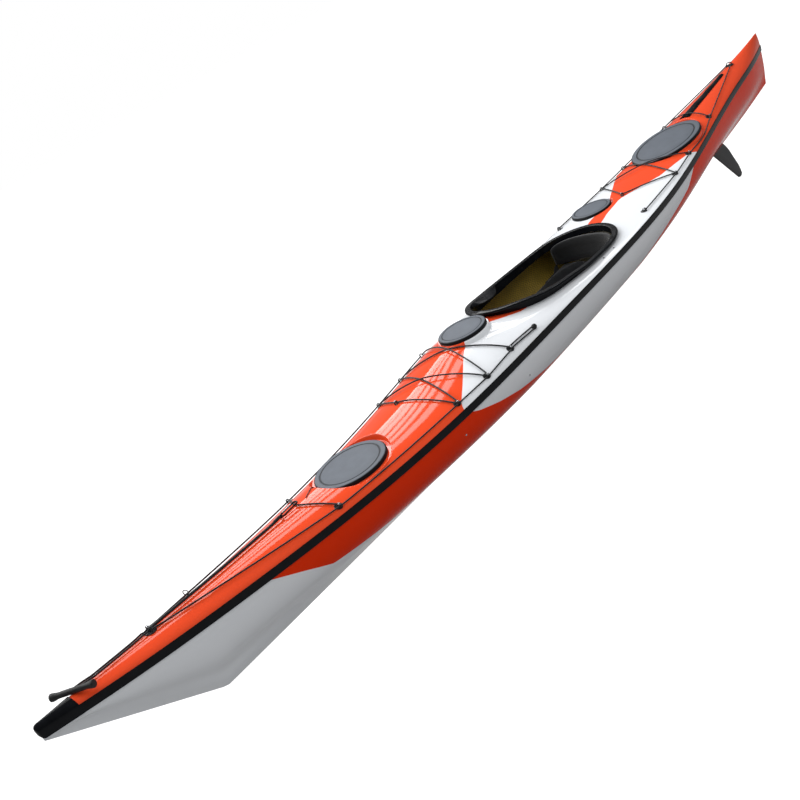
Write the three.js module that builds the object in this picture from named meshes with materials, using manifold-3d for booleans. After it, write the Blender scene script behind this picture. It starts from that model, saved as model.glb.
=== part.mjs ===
// Sea kayak with a drop-down skeg, four round and oval hatches, a keyhole cockpit and deck lines.
// Millimetres. +X runs to the bow, +Y to port, +Z up. The origin lies below the middle of the
// length, at the level of the lowered skeg's tip, so the keel stands one skeg draught above it.

import * as THREE from 'three';
import { mergeVertices } from 'three/addons/utils/BufferGeometryUtils.js';
import Module from 'manifold-3d';

const wasm = await Module();
wasm.setup();

// Boat
const LENGTH = 5060;
const BEAM = 548;
const BOW_HEIGHT = 432;
const SHELL_WALL = 4;
const KEEL_FLAT = 50;
const STERN_FOOT_RISE = 133;
const FOREFOOT_RISE = 71;
const STEM_TOP_RISE = 370;
const BILGE_ROUND = 86;
const KEEL_SHARE_AFT = 0.413;
const KEEL_SHARE_FORE = 0.591;
const FOREFOOT_SHARE = 0.9055;
const ROCKER_POWER_SHARE = 1.2;
const STERN_RAKE_SHARE = 0.216;
const STERN_RAKE_END_SHARE = 0.08;
const LINE_PLACE_SHARES = [0, 0.05, 0.12, 0.22, 0.33, 0.44, 0.55, 0.66, 0.77, 0.87, 0.95, 1];
const HALF_BEAM_SHARES = [0.044, 0.226, 0.38, 0.618, 0.874, 0.99, 0.999, 0.872, 0.615, 0.379, 0.207, 0.053];
const SHEER_SHARES = [0.784, 0.772, 0.739, 0.667, 0.607, 0.606, 0.627, 0.611, 0.637, 0.742, 0.87, 0.961];
const RIDGE_PLACE_SHARES = [
  0, 0.05, 0.12, 0.22, 0.308, 0.399, 0.577, 0.599, 0.64, 0.696, 0.77, 0.87, 0.95, 1,
];
const RIDGE_SHARES = [
  0.944, 0.895, 0.844, 0.7815, 0.7, 0.6574, 0.8148, 0.8426, 0.7986, 0.7488, 0.7674, 0.8595, 0.9468, 0.9988,
];
const HULL_SIDE_SHARES = [0.9775, 0.6987];
const HULL_DROP_SHARE = 0.6736;
const DECK_SIDE_SHARES = [0.8917, 0.3269];
const DECK_RISE_SHARES = [0.4845, 0.9465];
const HOLLOW_SHARES = [0.055, 0.955];
const SLOPE_STEP_SHARE = 0.002;

// Fits
const GAP = 0.3;
const OVERRUN = 60;
const PIVOT_CLEAR = 0.8;
const MERGE = 0.001;

// Seam band and bow cap
const BAND_WIDTH = 29;
const BAND_PROUD = 2.2;
const CAP_WALL = 2.8;
const CAP_NOSE = 2.4;
const CAP_FIT = 0.8;
const CAP_SHARE = 0.979;

// Hatches: places in shares of the length and of the half beam
const HATCH_SHARES = { bow: [0.7482, 0], knee: [0.5988, 0], stern: [0.2445, 0] };
const DAY_HATCH_SIDE_SHARE = -0.4666;
const DAY_HATCH_SETBACK = 93.25;
const COVER_RISE = 15;
const COVER_ROUND = 5;
const COVER_STEP = 1.6;
const COVER_STEP_SHARES = [0.82, 0.77];
const SEAL_WIDTH = 12;
const RIM_WALL = 3;
const RIM_FLANGE = 2.6;
const RIM_STAND = 5;
const RIM_SLEEVE = 12;
const PLATFORM_DEPTH = 20;
const BOW_PLATFORM_MARGIN = 14;
const SMALL_PLATFORM_MARGIN = 6;
const BOW_HATCH_RADIUS = 140.5;
const DAY_HATCH_RADIUS = 97;
const KNEE_HATCH_RADIUS = 101;
const STERN_HATCH_LENGTH = 428;
const STERN_HATCH_WIDTH = 332;
const STERN_PLATFORM_MARGIN = 4;
const BOW_HATCH_SINK = 30;
const KNEE_HATCH_SINK = -1;
const DAY_HATCH_SINK = 3;
const STERN_HATCH_SINK = 17.5;
const STERN_HATCH_TILT = 0.06;
const POD_DEPTH = 125;
const POD_WALL = 3;
const POD_TAPER_SHARE = 0.86;

// Cockpit coaming
const COAMING_LENGTH = 892;
const COAMING_WIDTH = 464;
const COAMING_FRONT_SHARE = 0.5765;
const COAMING_RISE = 42;
const LIP_WIDTH = 22;
const LIP_DROP = 9;
const LIP_WALL = 3.5;
const RISER_WALL = 4;
const RISER_FOOT = 12;
const BRACE_REACH = 52;
const BRACE_DROP = 14;
const BRACE_WALL = 5;
const BRACE_PLACE_SHARES = [0.14, 0.4];
const COAMING_FULL_PLACE_SHARES = [0, 0.13, 0.38, 0.54, 0.7, 0.86, 1];
const COAMING_FULL_SHARES = [1.03, 1.06, 0.985, 1.012, 1.083, 1.237, 1.34];
const COAMING_RISE_PLACE_SHARES = [0, 0.05, 0.13, 0.25, 0.38, 0.5, 0.62, 0.75, 0.86, 0.95, 1];
const COAMING_RISE_SHARES = [0.58, 0.83, 1, 0.9, 0.786, 0.657, 0.56, 0.49, 0.474, 0.4, 0.3];

// Bulkheads, fore to aft
const BULKHEAD_WALL = 5;
const BULKHEAD_SHARES = { bulkhead_front: 0.7036, bulkhead_day: 0.3142 };
const COCKPIT_BULKHEAD_SETBACK = 46.1;

// Seat and back band
const SEAT_LENGTH = 380;
const SEAT_WIDTH = 328;
const SEAT_HEIGHT = 165;
const SEAT_AHEAD = 84.65;
const SEAT_SCOOP_LENGTH = 410;
const SEAT_SCOOP_WIDTH = 304;
const SEAT_SCOOP_DEPTH = 120;
const PIVOT_RADIUS = 5;
const PIVOT_BOSS = 10;
const BAND_PAD_WALL = 22;
const BAND_PAD_HEIGHT = 110;
const BAND_ARM_WALL = 5;
const BAND_ARM_HEIGHT = 26;
const BAND_ARM_LENGTH = 190;
const BAND_PAD_RAISE = 20;
const BAND_DEPTH = 82;
const BAND_PIVOT_AHEAD = 252.26;

// Foot braces
const RAIL_LENGTH = 410;
const RAIL_HEIGHT = 26;
const RAIL_DEPTH = 12;
const RAIL_GROOVE = 10;
const RAIL_GROOVE_DEPTH = 6;
const RAIL_LIFT = 170;
const RAIL_AFT_SHARE = 0.6035;
const RAIL_OFFSET = 14;
const BOSS_RADIUS = 9;
const BOSS_INSET = 14;
const PEDAL_HEIGHT = 128;
const PEDAL_WIDTH = 76;
const PEDAL_WALL = 9;
const PEDAL_RIB = 3;
const PEDAL_RIBS = 5;
const PEDAL_BEVEL_SHARE = 0.5;
const PEDAL_SHOE_LENGTH = 56;
const PEDAL_SHOE_WALL = 6;

// Skeg, its case, pin and control
const SKEG_DRAUGHT = 153.3;
const SKEG_THICKNESS = 8;
const SKEG_CASE_WIDTH = 12.6;
const SKEG_CASE_WALL = 3;
const SKEG_CASE_LENGTH = 404;
const SKEG_CASE_TOP = 226;
const SKEG_PIVOT_SHARE = 0.1672;
const SKEG_PIVOT_HEIGHT = 104;
const SKEG_PIVOT_AHEAD = 36;
const SKEG_PIN_RADIUS = 4;
const SKEG_HEAD = 18;
const SKEG_TIP_SHARE = 1.185;
const SKEG_FOOT_SHARES = [[0.07, -0.16], [-0.78, -1.165]];
const SKEG_TRAIL_SHARES = [
  [-0.9, -1.21, -0.975, -1.155], [-0.98, -0.98, -0.915, -0.84], [-0.8, -0.58, -0.745, -0.43],
  [-0.63, -0.2, -0.45, -0.05],
];
const SKEG_SHOULDER_SHARES = [-0.25, 0.1];
const SLIDER_TRACK_LENGTH = 170;
const SLIDER_TRACK_WIDTH = 20;
const SLIDER_TRACK_HEIGHT = 7;
const SLIDER_GROOVE = 7;
const SLIDER_PLACE_SHARES = [0.512, -0.9];
const SLIDER_LENGTH = 34;
const SLIDER_HEIGHT = 12;
const SLIDER_FLOOR = 2;
const SLIDER_TRAVEL = 100;

// Deck fittings and cords
const LINE_RADIUS = 2.9;
const BUNGEE_RADIUS = 3;
const PAINTER_RADIUS = 5;
const CORD_LIFT = 6.3;
const CORD_STEP = 56;
const LINE_STEP = 150;
const CROSS_LIFT = 7.5;
const LINE_SIDE = 8.2;
const HOOK_SIDE = 4;
const END_SIDE = 6.5;
const END_INSET = 4;
const EYE_SPREAD = 9.5;
const EYE_INSET = 3;
const EYE_REST = 2.5;
const TURN_RADIUS = 5.7;
const TURN_STEP = 0.9;
const FITTING_RADIUS = 15;
const FITTING_HEIGHT = 14.4;
const FITTING_BASE = 1.2;
const BAIL_WALL = 3;
const BAIL_DEPTH = 3.6;
const BAIL_CROWN = 3.2;
const BAIL_CLEAR = 1.2;
const EYE_BAIL = 15.5;
const FITTING_SINK = 3;
const EYE_RADIUS = 21;
const EYE_HEIGHT = 18;
const BEAD_RADIUS = 11;
const STRIP_WIDTH = 56;
const STRIP_RISE = 7;
const STRIP_SHARES = [0.101, 0.1975];
const STRIP_EDGE = 2.3;
const STRIP_CROWN = 5.6;
const STRIP_CROWN_SHARE = 0.6;
const STRIP_TAPER_SHARE = 0.5;
const STRIP_STATIONS = 6;
const CLIP_LENGTH = 82;
const CLIP_WIDTH = 26;
const CLIP_WALL = 6;
const CLIP_LIFT = 9.2;
const CLIP_SHARE = 0.806;
const CLIP_CLEAR = 1.5;

// Places of the fittings, in shares of the length and of the half beam
const FITTING_SHARES = {
  bow_eye: [0.9233, 0],
  fitting_bow_port: [0.7885, 0.84],
  fitting_bow_starboard: [0.7885, -0.84],
  fitting_fore_port: [0.6719, 0.87],
  fitting_fore_starboard: [0.6719, -0.87],
  fitting_knee_port: [0.6389, 0.9],
  fitting_knee_starboard: [0.6389, -0.9],
  fitting_cockpit_port: [0.6067, 0.88],
  fitting_cockpit_starboard: [0.6067, -0.88],
  fitting_seat_port: [0.382, 0.81],
  fitting_seat_starboard: [0.385, -0.92],
  fitting_day_port: [0.3123, 0.86],
  fitting_day_starboard: [0.3123, -0.86],
  fitting_aft_port: [0.2727, 0.86],
  fitting_aft_starboard: [0.2727, -0.86],
  fitting_stern_port: [0.197, 0.8],
  fitting_stern_starboard: [0.197, -0.8],
  stern_eye: [0.0777, 0],
};
const PARK_SHARES = [0.5775, 0.905];

// Bow toggle
const TOGGLE_LENGTH = 147;
const TOGGLE_RADIUS = 12;
const TOGGLE_WAIST = 9;
const TOGGLE_SHARE = 0.9755;
const TOGGLE_YAW = 0.62;
const TOGGLE_ROUND = 4;
const TOGGLE_KNOB = 12;
const TOGGLE_NECK = 24;
const TOGGLE_CLIMB = 60;

// Faceting
const HULL_STATIONS = 23;
const STEM_STATIONS = 3;
const HULL_COLUMNS = 7;
const DECK_COLUMNS = 6;
const LARGE_SIDES = 24;
const SMALL_SIDES = 16;
const FITTING_SIDES = 8;
const GRIP_SIDES = 10;
const CORD_SIDES = 8;
const COCKPIT_POINTS = 36;

const FINISH = {
  hullRed: { color: 0xb8330f, roughness: 0.18, metalness: 0 },
  deckOrange: { color: 0xee5a32, roughness: 0.15, metalness: 0 },
  gloss: { color: 0x14161a, roughness: 0.15, metalness: 0 },
  rubber: { color: 0x1b1d20, roughness: 0.75, metalness: 0 },
  cover: { color: 0x5d646c, roughness: 0.6, metalness: 0 },
  cord: { color: 0x17191c, roughness: 0.85, metalness: 0 },
  laminate: { color: 0xd9d6cc, roughness: 0.5, metalness: 0 },
  foam: { color: 0x24262a, roughness: 0.9, metalness: 0 },
  metal: { color: 0xb9bec4, roughness: 0.3, metalness: 0.9 },
};

// Fair curve through the given places: a natural cubic spline, as a batten would lie
function fair(places, values) {
  const last = places.length - 1;
  const bend = new Array(last + 1).fill(0);
  const carry = new Array(last + 1).fill(0);
  for (let i = 1; i < last; i++) {
    const before = places[i] - places[i - 1];
    const after = places[i + 1] - places[i];
    const pull = 6 * ((values[i + 1] - values[i]) / after - (values[i] - values[i - 1]) / before);
    const pivot = 2 * (before + after) - before * carry[i - 1];
    carry[i] = after / pivot;
    bend[i] = (pull - before * bend[i - 1]) / pivot;
  }
  for (let i = last - 1; i > 0; i--) bend[i] -= carry[i] * bend[i + 1];
  return (place) => {
    let i = 0;
    while (i < last - 1 && place > places[i + 1]) i++;
    const span = places[i + 1] - places[i];
    const a = (places[i + 1] - place) / span;
    const b = 1 - a;
    const sag = ((a ** 3 - a) * bend[i] + (b ** 3 - b) * bend[i + 1]) * span ** 2 / 6;
    return a * values[i] + b * values[i + 1] + sag;
  };
}

function bezier(t, a, b, c, d) {
  return a * (1 - t) ** 3 + 3 * b * t * (1 - t) ** 2 + 3 * c * t ** 2 * (1 - t) + d * t ** 3;
}

const halfBeamShare = fair(LINE_PLACE_SHARES, HALF_BEAM_SHARES);
const sheerShare = fair(LINE_PLACE_SHARES, SHEER_SHARES);
const ridgeShare = fair(RIDGE_PLACE_SHARES, RIDGE_SHARES);
const HULL_LENGTH = LENGTH - CAP_WALL;

const beamAt = (share) => halfBeamShare(share) * BEAM / 2;
const sheerAt = (share) => sheerShare(share) * BOW_HEIGHT;
const ridgeAt = (share) => ridgeShare(share) * BOW_HEIGHT;
const rakeAt = (share) => STERN_RAKE_SHARE * Math.max(0, 1 - share / STERN_RAKE_END_SHARE);
const alongAt = (share) => share * HULL_LENGTH - LENGTH / 2;
const shareOf = (x) => (x + LENGTH / 2) / HULL_LENGTH;

// What lies in and behind the cockpit is set out from the coaming's aft end
const coamingAft = alongAt(COAMING_FRONT_SHARE) - COAMING_LENGTH;
const dayHatchShare = shareOf(coamingAft - DAY_HATCH_SETBACK - DAY_HATCH_RADIUS);

// Keel line: a flat run amidships, rocker to each end, then the straight stem
function keelAt(share) {
  if (share < KEEL_SHARE_AFT) {
    return STERN_FOOT_RISE * ((KEEL_SHARE_AFT - share) / KEEL_SHARE_AFT) ** ROCKER_POWER_SHARE;
  }
  if (share < KEEL_SHARE_FORE) return 0;
  const run = (share - KEEL_SHARE_FORE) / (FOREFOOT_SHARE - KEEL_SHARE_FORE);
  if (run <= 1) return FOREFOOT_RISE * run ** ROCKER_POWER_SHARE;
  const climb = (share - FOREFOOT_SHARE) / (1 - FOREFOOT_SHARE);
  return FOREFOOT_RISE + (STEM_TOP_RISE - FOREFOOT_RISE) * climb;
}

// Places a section point; sections near the stern lean aft with the stern post
function sectionPoint(share, y, z) {
  return [alongAt(share) + rakeAt(share) * (ridgeAt(share) - z), y, z];
}

// Port half of the hull's section from the joint down to the keel, moved in by the inset
function hullHalf(share, inset) {
  const beam = beamAt(share) - inset;
  const top = sheerAt(share) - BAND_WIDTH / 2;
  const keel = keelAt(share) + inset;
  const flat = Math.min(KEEL_FLAT / 2, beam * KEEL_FLAT / BEAM);
  const bilge = Math.min(keel + BILGE_ROUND, top);
  const points = [];
  for (let i = 0; i <= HULL_COLUMNS; i++) {
    const t = i / HULL_COLUMNS;
    const y = bezier(t, beam, beam * HULL_SIDE_SHARES[0], beam * HULL_SIDE_SHARES[1], flat);
    points.push([y, bezier(t, top, top - HULL_DROP_SHARE * (top - keel), bilge, keel)]);
  }
  return points;
}

// Port half of the deck's section from the sheer up to the ridge, moved in by the inset
function deckHalf(share, inset) {
  const beam = beamAt(share) - inset;
  const sheer = sheerAt(share);
  const ridge = ridgeAt(share) - inset;
  const low = sheer + DECK_RISE_SHARES[0] * (ridge - sheer);
  const high = sheer + DECK_RISE_SHARES[1] * (ridge - sheer);
  const points = [];
  for (let i = 0; i <= DECK_COLUMNS; i++) {
    const t = i / DECK_COLUMNS;
    const y = bezier(t, beam, beam * DECK_SIDE_SHARES[0], beam * DECK_SIDE_SHARES[1], 0);
    points.push([y, bezier(t, sheer, low, high, ridge)]);
  }
  return points;
}

const mirrored = (points) => points.map(([y, z]) => [-y, z]);
const ringAt = (share, points) => points.map(([y, z]) => sectionPoint(share, y, z));

function hullRing(share, inset, raise) {
  const half = hullHalf(share, inset);
  const lip = raise > 0 ? [[half[0][0], half[0][1] + raise]] : [];
  const port = [...lip, ...half];
  return ringAt(share, [...port, ...mirrored(port).reverse()]);
}

function deckRing(share, inset, base) {
  const half = [[beamAt(share) - inset, base], ...deckHalf(share, inset)];
  return ringAt(share, [...half, ...mirrored(half).reverse().slice(1)]);
}

function wholeRing(share, inset) {
  const half = [...deckHalf(share, inset).reverse(), ...hullHalf(share, inset)];
  return ringAt(share, [...half, ...mirrored(half).reverse().slice(0, -1)]);
}

// Evenly spread shares of the length, closer together up the stem
function stationShares(from, to) {
  const shares = [];
  const step = FOREFOOT_SHARE / HULL_STATIONS;
  const stemStep = (1 - FOREFOOT_SHARE) / STEM_STATIONS;
  for (let i = 0; i <= HULL_STATIONS; i++) shares.push(i * step);
  for (let i = 1; i <= STEM_STATIONS; i++) shares.push(FOREFOOT_SHARE + i * stemStep);
  const clear = (share) => share > from + step / 4 && share < to - stemStep / 4;
  const inside = shares.filter((share) => clear(share) && Math.abs(share - CAP_SHARE) > stemStep / 2);
  const edge = clear(CAP_SHARE) ? [CAP_SHARE] : [];
  return [from, ...inside, ...edge, to];
}

function geometryFrom(points, faces) {
  const geometry = new THREE.BufferGeometry();
  geometry.setAttribute('position', new THREE.Float32BufferAttribute(points.flat(), 3));
  geometry.setIndex(faces.flat());
  return geometry;
}

// Skin over rings of equal count; open lofts are capped, closed ones return to the first ring
function loft(rings, closed = false) {
  const count = rings[0].length;
  const faces = [];
  const spans = closed ? rings.length : rings.length - 1;
  for (let i = 0; i < spans; i++) {
    const next = (i + 1) % rings.length;
    for (let j = 0; j < count; j++) {
      const k = (j + 1) % count;
      faces.push([i * count + j, i * count + k, next * count + k]);
      faces.push([i * count + j, next * count + k, next * count + j]);
    }
  }
  const end = (rings.length - 1) * count;
  for (let j = 1; !closed && j < count - 1; j++) {
    faces.push([0, j + 1, j]);
    faces.push([end, end + j, end + j + 1]);
  }
  return solid(geometryFrom(rings.flat(), faces));
}

function signedVolume(position, index) {
  const [a, b, c] = [new THREE.Vector3(), new THREE.Vector3(), new THREE.Vector3()];
  let total = 0;
  for (let i = 0; i < index.length; i += 3) {
    a.fromBufferAttribute(position, index[i]);
    b.fromBufferAttribute(position, index[i + 1]);
    c.fromBufferAttribute(position, index[i + 2]);
    total += a.dot(b.cross(c));
  }
  return total;
}

// Closed solid from a geometry, with its faces turned out
function solid(geometry) {
  const bare = geometry.clone();
  bare.deleteAttribute('normal');
  bare.deleteAttribute('uv');
  const merged = mergeVertices(bare, MERGE);
  const index = merged.index.array;
  const faces = [];
  for (let i = 0; i < index.length; i += 3) {
    const [a, b, c] = [index[i], index[i + 1], index[i + 2]];
    if (a !== b && b !== c && c !== a) faces.push(a, b, c);
  }
  if (signedVolume(merged.attributes.position, faces) < 0) faces.reverse();
  const vertProperties = new Float32Array(merged.attributes.position.array);
  const triVerts = new Uint32Array(faces);
  return new wasm.Manifold(new wasm.Mesh({ numProp: 3, vertProperties, triVerts }));
}

const joined = (first, ...others) => others.reduce((whole, other) => whole.add(other), first);
const cut = (first, ...others) => others.reduce((whole, other) => whole.subtract(other), first);
const common = (first, ...others) => others.reduce((whole, other) => whole.intersect(other), first);

function box(lengthX, widthY, heightZ, x, y, z) {
  return solid(new THREE.BoxGeometry(lengthX, widthY, heightZ).translate(x, y, z));
}

// Revolved profile of [radius, height] points about the vertical axis
function turned(profile, sides) {
  const points = profile.map(([radius, height]) => new THREE.Vector2(radius, height));
  return new THREE.LatheGeometry(points, sides).rotateX(Math.PI / 2);
}

function prism(outline, depth) {
  return new THREE.ExtrudeGeometry(outline, { depth, bevelEnabled: false });
}

// Curve whose parameter steps evenly from one listed point to the next
class Route extends THREE.Curve {
  constructor(points) {
    super();
    this.points = points;
  }

  getPoint(t, target = new THREE.Vector3()) {
    const reach = t * (this.points.length - 1);
    const i = Math.min(Math.floor(reach), this.points.length - 2);
    return target.lerpVectors(this.points[i], this.points[i + 1], reach - i);
  }

  getPointAt(t, target) {
    return this.getPoint(t, target);
  }

  getTangentAt(t, target = new THREE.Vector3()) {
    const i = Math.round(t * (this.points.length - 1));
    const before = this.points[Math.max(i - 1, 0)];
    const after = this.points[Math.min(i + 1, this.points.length - 1)];
    return target.subVectors(after, before).normalize();
  }
}

function tube(points, radius) {
  const section = new THREE.Shape();
  section.absarc(0, 0, radius, 0, Math.PI * 2);
  const route = new Route(points);
  const settings = { steps: points.length - 1, curveSegments: CORD_SIDES / 2, extrudePath: route };
  return solid(new THREE.ExtrudeGeometry(section, settings));
}

// Height of the deck's outside over a place, found along its section
function deckHeight(share, y) {
  const beam = beamAt(share);
  const sheer = sheerAt(share);
  const ridge = ridgeAt(share);
  const reach = Math.min(Math.abs(y), beam);
  let low = 0;
  let high = 1;
  for (let i = 0; i < 40; i++) {
    const middle = (low + high) / 2;
    const side = bezier(middle, beam, beam * DECK_SIDE_SHARES[0], beam * DECK_SIDE_SHARES[1], 0);
    if (side > reach) low = middle;
    else high = middle;
  }
  const rise = ridge - sheer;
  return bezier(low, sheer, sheer + DECK_RISE_SHARES[0] * rise, sheer + DECK_RISE_SHARES[1] * rise, ridge);
}

// Point and outward normal on the deck at shares of the length and of the half beam
function deckSeat(share, sideShare) {
  const y = sideShare * beamAt(share);
  const step = SLOPE_STEP_SHARE;
  const across = step * BEAM;
  const slopeX = (deckHeight(share + step, y) - deckHeight(share - step, y)) / (2 * step * HULL_LENGTH);
  const slopeY = (deckHeight(share, y + across) - deckHeight(share, y - across)) / (2 * across);
  const point = new THREE.Vector3(alongAt(share), y, deckHeight(share, y));
  const normal = new THREE.Vector3(-slopeX, -slopeY, 1).normalize();
  return { point, normal };
}

function seated(geometry, seat) {
  const turn = new THREE.Quaternion().setFromUnitVectors(new THREE.Vector3(0, 0, 1), seat.normal);
  return geometry.applyQuaternion(turn).translate(seat.point.x, seat.point.y, seat.point.z);
}

const boat = new THREE.Group();
boat.position.z = SKEG_DRAUGHT;

function addPiece(name, shape, finish) {
  const mesh = shape.getMesh();
  const geometry = new THREE.BufferGeometry();
  geometry.setAttribute('position', new THREE.Float32BufferAttribute(mesh.vertProperties, 3));
  geometry.setIndex(new THREE.Uint32BufferAttribute(mesh.triVerts, 1));
  geometry.computeVertexNormals();
  const piece = new THREE.Mesh(geometry, new THREE.MeshStandardMaterial(finish));
  piece.name = name;
  boat.add(piece);
}

// Hatches: each is set out from one record, and its seat in the deck follows from it
function hatch([share, sideShare], halfLength, halfWidth, sink, tilt, margin, sides) {
  const y = sideShare * beamAt(share);
  const z = deckHeight(share, y) - sink;
  return { at: [alongAt(share), y, z], halfLength, halfWidth, tilt, margin, sides };
}

const HATCHES = {
  bow: hatch(
    HATCH_SHARES.bow, BOW_HATCH_RADIUS, BOW_HATCH_RADIUS,
    BOW_HATCH_SINK, 0, BOW_PLATFORM_MARGIN, LARGE_SIDES,
  ),
  knee: hatch(
    HATCH_SHARES.knee, KNEE_HATCH_RADIUS, KNEE_HATCH_RADIUS,
    KNEE_HATCH_SINK, 0, SMALL_PLATFORM_MARGIN, SMALL_SIDES,
  ),
  day: hatch(
    [dayHatchShare, DAY_HATCH_SIDE_SHARE], DAY_HATCH_RADIUS, DAY_HATCH_RADIUS,
    DAY_HATCH_SINK, 0, SMALL_PLATFORM_MARGIN, SMALL_SIDES,
  ),
  stern: hatch(
    HATCH_SHARES.stern, STERN_HATCH_LENGTH / 2, STERN_HATCH_WIDTH / 2,
    STERN_HATCH_SINK, STERN_HATCH_TILT, STERN_PLATFORM_MARGIN, LARGE_SIDES,
  ),
};

// Moves a piece drawn about the middle of a hatch's seat to its place on the deck
function onHatch(geometry, { at, tilt }) {
  return geometry.rotateY(tilt).translate(...at);
}

function hatchDisc(place, grow, bottom, top) {
  const disc = new THREE.CylinderGeometry(1, 1, top - bottom, place.sides).rotateX(Math.PI / 2);
  disc.scale(place.halfLength + grow, place.halfWidth + grow, 1).translate(0, 0, (top + bottom) / 2);
  return solid(onHatch(disc, place));
}

// Turned piece stretched to the hatch's oval; its profile is drawn at the half width
function hatchTurned(place, profile) {
  const oval = turned(profile, place.sides);
  oval.scale(place.halfLength / place.halfWidth, 1, 1);
  return solid(onHatch(oval, place));
}

// Cockpit outline seen from above, front to aft and back, moved in by the inset
const coamingFullness = fair(COAMING_FULL_PLACE_SHARES, COAMING_FULL_SHARES);
const coamingRise = fair(COAMING_RISE_PLACE_SHARES, COAMING_RISE_SHARES);

function rimPoint(turn) {
  const back = (1 - Math.cos(turn)) / 2;
  const side = Math.sin(turn) * coamingFullness(back) * COAMING_WIDTH / 2;
  return [alongAt(COAMING_FRONT_SHARE) - back * COAMING_LENGTH, side, back];
}

function cockpitPlan(inset) {
  const plan = [];
  const turnStep = 2 * Math.PI / COCKPIT_POINTS;
  for (let i = 0; i < COCKPIT_POINTS; i++) {
    const turn = i * turnStep;
    const [x, y, back] = rimPoint(turn);
    const before = rimPoint(turn - turnStep);
    const after = rimPoint(turn + turnStep);
    const edge = new THREE.Vector2(after[0] - before[0], after[1] - before[1]).normalize();
    plan.push({ x: x - edge.y * inset, y: y + edge.x * inset, back });
  }
  return plan;
}

// Shells
const stations = stationShares(0, 1);
const hollowStations = stationShares(HOLLOW_SHARES[0], HOLLOW_SHARES[1]);
const hullOuter = loft(stations.map((share) => hullRing(share, 0, 0)));
const hullHollow = loft(hollowStations.map((share) => hullRing(share, SHELL_WALL, OVERRUN)));
const jointAt = (share) => sheerAt(share) - BAND_WIDTH / 2;
const deckOuter = loft(stations.map((share) => deckRing(share, 0, jointAt(share) + GAP)));
const deckHollow = loft(hollowStations.map((share) => deckRing(share, SHELL_WALL, jointAt(share) - OVERRUN)));
const places = Object.values(HATCHES);
const platforms = places.map((place) => hatchDisc(place, place.margin, -PLATFORM_DEPTH, 0));
const recesses = places.map((place) => hatchDisc(place, place.margin, 0, OVERRUN));
const platformHollows = places.map((place) => (
  hatchDisc(place, place.margin - SHELL_WALL, -PLATFORM_DEPTH - SHELL_WALL, -SHELL_WALL)
));
const recessHollows = places.map((place) => (
  hatchDisc(place, place.margin + SHELL_WALL, -SHELL_WALL, OVERRUN)
));
const holes = places.map((place) => hatchDisc(place, GAP - SEAL_WIDTH, -OVERRUN, OVERRUN));
const deckForm = cut(joined(deckOuter, ...platforms), ...recesses);
const deckSpace = cut(joined(deckHollow, ...platformHollows), ...recessHollows);

function cockpitOpening(inset) {
  const plan = cockpitPlan(inset);
  const outline = new THREE.Shape(plan.map(({ x, y }) => new THREE.Vector2(x, y)));
  return solid(prism(outline, BOW_HEIGHT));
}

const deckShell = cut(deckForm, deckSpace, ...holes, cockpitOpening(LIP_WIDTH - GAP));

// Skeg case: a narrow box over the slot, trimmed to the hull's underside
const skegX = alongAt(SKEG_PIVOT_SHARE);
const caseWidth = SKEG_CASE_WIDTH + 2 * SKEG_CASE_WALL;
const caseX = skegX + SKEG_PIVOT_AHEAD - SKEG_CASE_LENGTH / 2;
const caseOuterLength = SKEG_CASE_LENGTH + 2 * SKEG_CASE_WALL;
const caseBlock = box(caseOuterLength, caseWidth, SKEG_CASE_TOP, caseX, 0, SKEG_CASE_TOP / 2);
const caseInside = box(
  SKEG_CASE_LENGTH, SKEG_CASE_WIDTH, SKEG_CASE_TOP, caseX, 0, SKEG_CASE_TOP / 2 - SKEG_CASE_WALL,
);
const slot = box(caseOuterLength + 2 * GAP, caseWidth + 2 * GAP, SKEG_CASE_TOP, caseX, 0, SKEG_CASE_TOP / 2);
const pinHoleRadius = SKEG_PIN_RADIUS + PIVOT_CLEAR;
const pinHole = solid(
  new THREE.CylinderGeometry(pinHoleRadius, pinHoleRadius, BEAM, FITTING_SIDES)
    .translate(skegX, 0, SKEG_PIVOT_HEIGHT),
);
addPiece('hull_shell', cut(hullOuter, hullHollow, slot), FINISH.hullRed);
addPiece('deck_shell', deckShell, FINISH.deckOrange);
addPiece('skeg_case', cut(common(caseBlock, hullOuter), caseInside, pinHole), FINISH.rubber);
const pinLength = caseWidth - GAP;
addPiece('skeg_pin', solid(
  new THREE.CylinderGeometry(SKEG_PIN_RADIUS, SKEG_PIN_RADIUS, pinLength, FITTING_SIDES)
    .translate(skegX, 0, SKEG_PIVOT_HEIGHT),
), FINISH.metal);

// Skeg blade: a raked, rounded blade below its round head, drawn in shares of its reach
function skegBlade() {
  const bevel = SKEG_THICKNESS / 4;
  const reach = (SKEG_PIVOT_HEIGHT + SKEG_DRAUGHT - bevel) / SKEG_TIP_SHARE;
  const outline = new THREE.Shape();
  const sized = (shares) => shares.map((share) => share * reach);
  outline.moveTo(...sized(SKEG_FOOT_SHARES[0]));
  outline.lineTo(...sized(SKEG_FOOT_SHARES[1]));
  for (const curve of SKEG_TRAIL_SHARES) outline.quadraticCurveTo(...sized(curve));
  outline.quadraticCurveTo(...sized(SKEG_SHOULDER_SHARES), 0, SKEG_HEAD);
  outline.absarc(0, 0, SKEG_HEAD, Math.PI / 2, -Math.PI / 5, true);
  const settings = {
    depth: SKEG_THICKNESS / 2, steps: 1, curveSegments: 5,
    bevelThickness: SKEG_THICKNESS / 4, bevelSize: SKEG_THICKNESS / 4, bevelSegments: 1,
  };
  const blade = new THREE.ExtrudeGeometry(outline, settings).translate(0, 0, -SKEG_THICKNESS / 4);
  return cut(solid(blade.rotateX(Math.PI / 2).translate(skegX, 0, SKEG_PIVOT_HEIGHT)), pinHole);
}
addPiece('skeg_blade', skegBlade(), FINISH.rubber);

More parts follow.
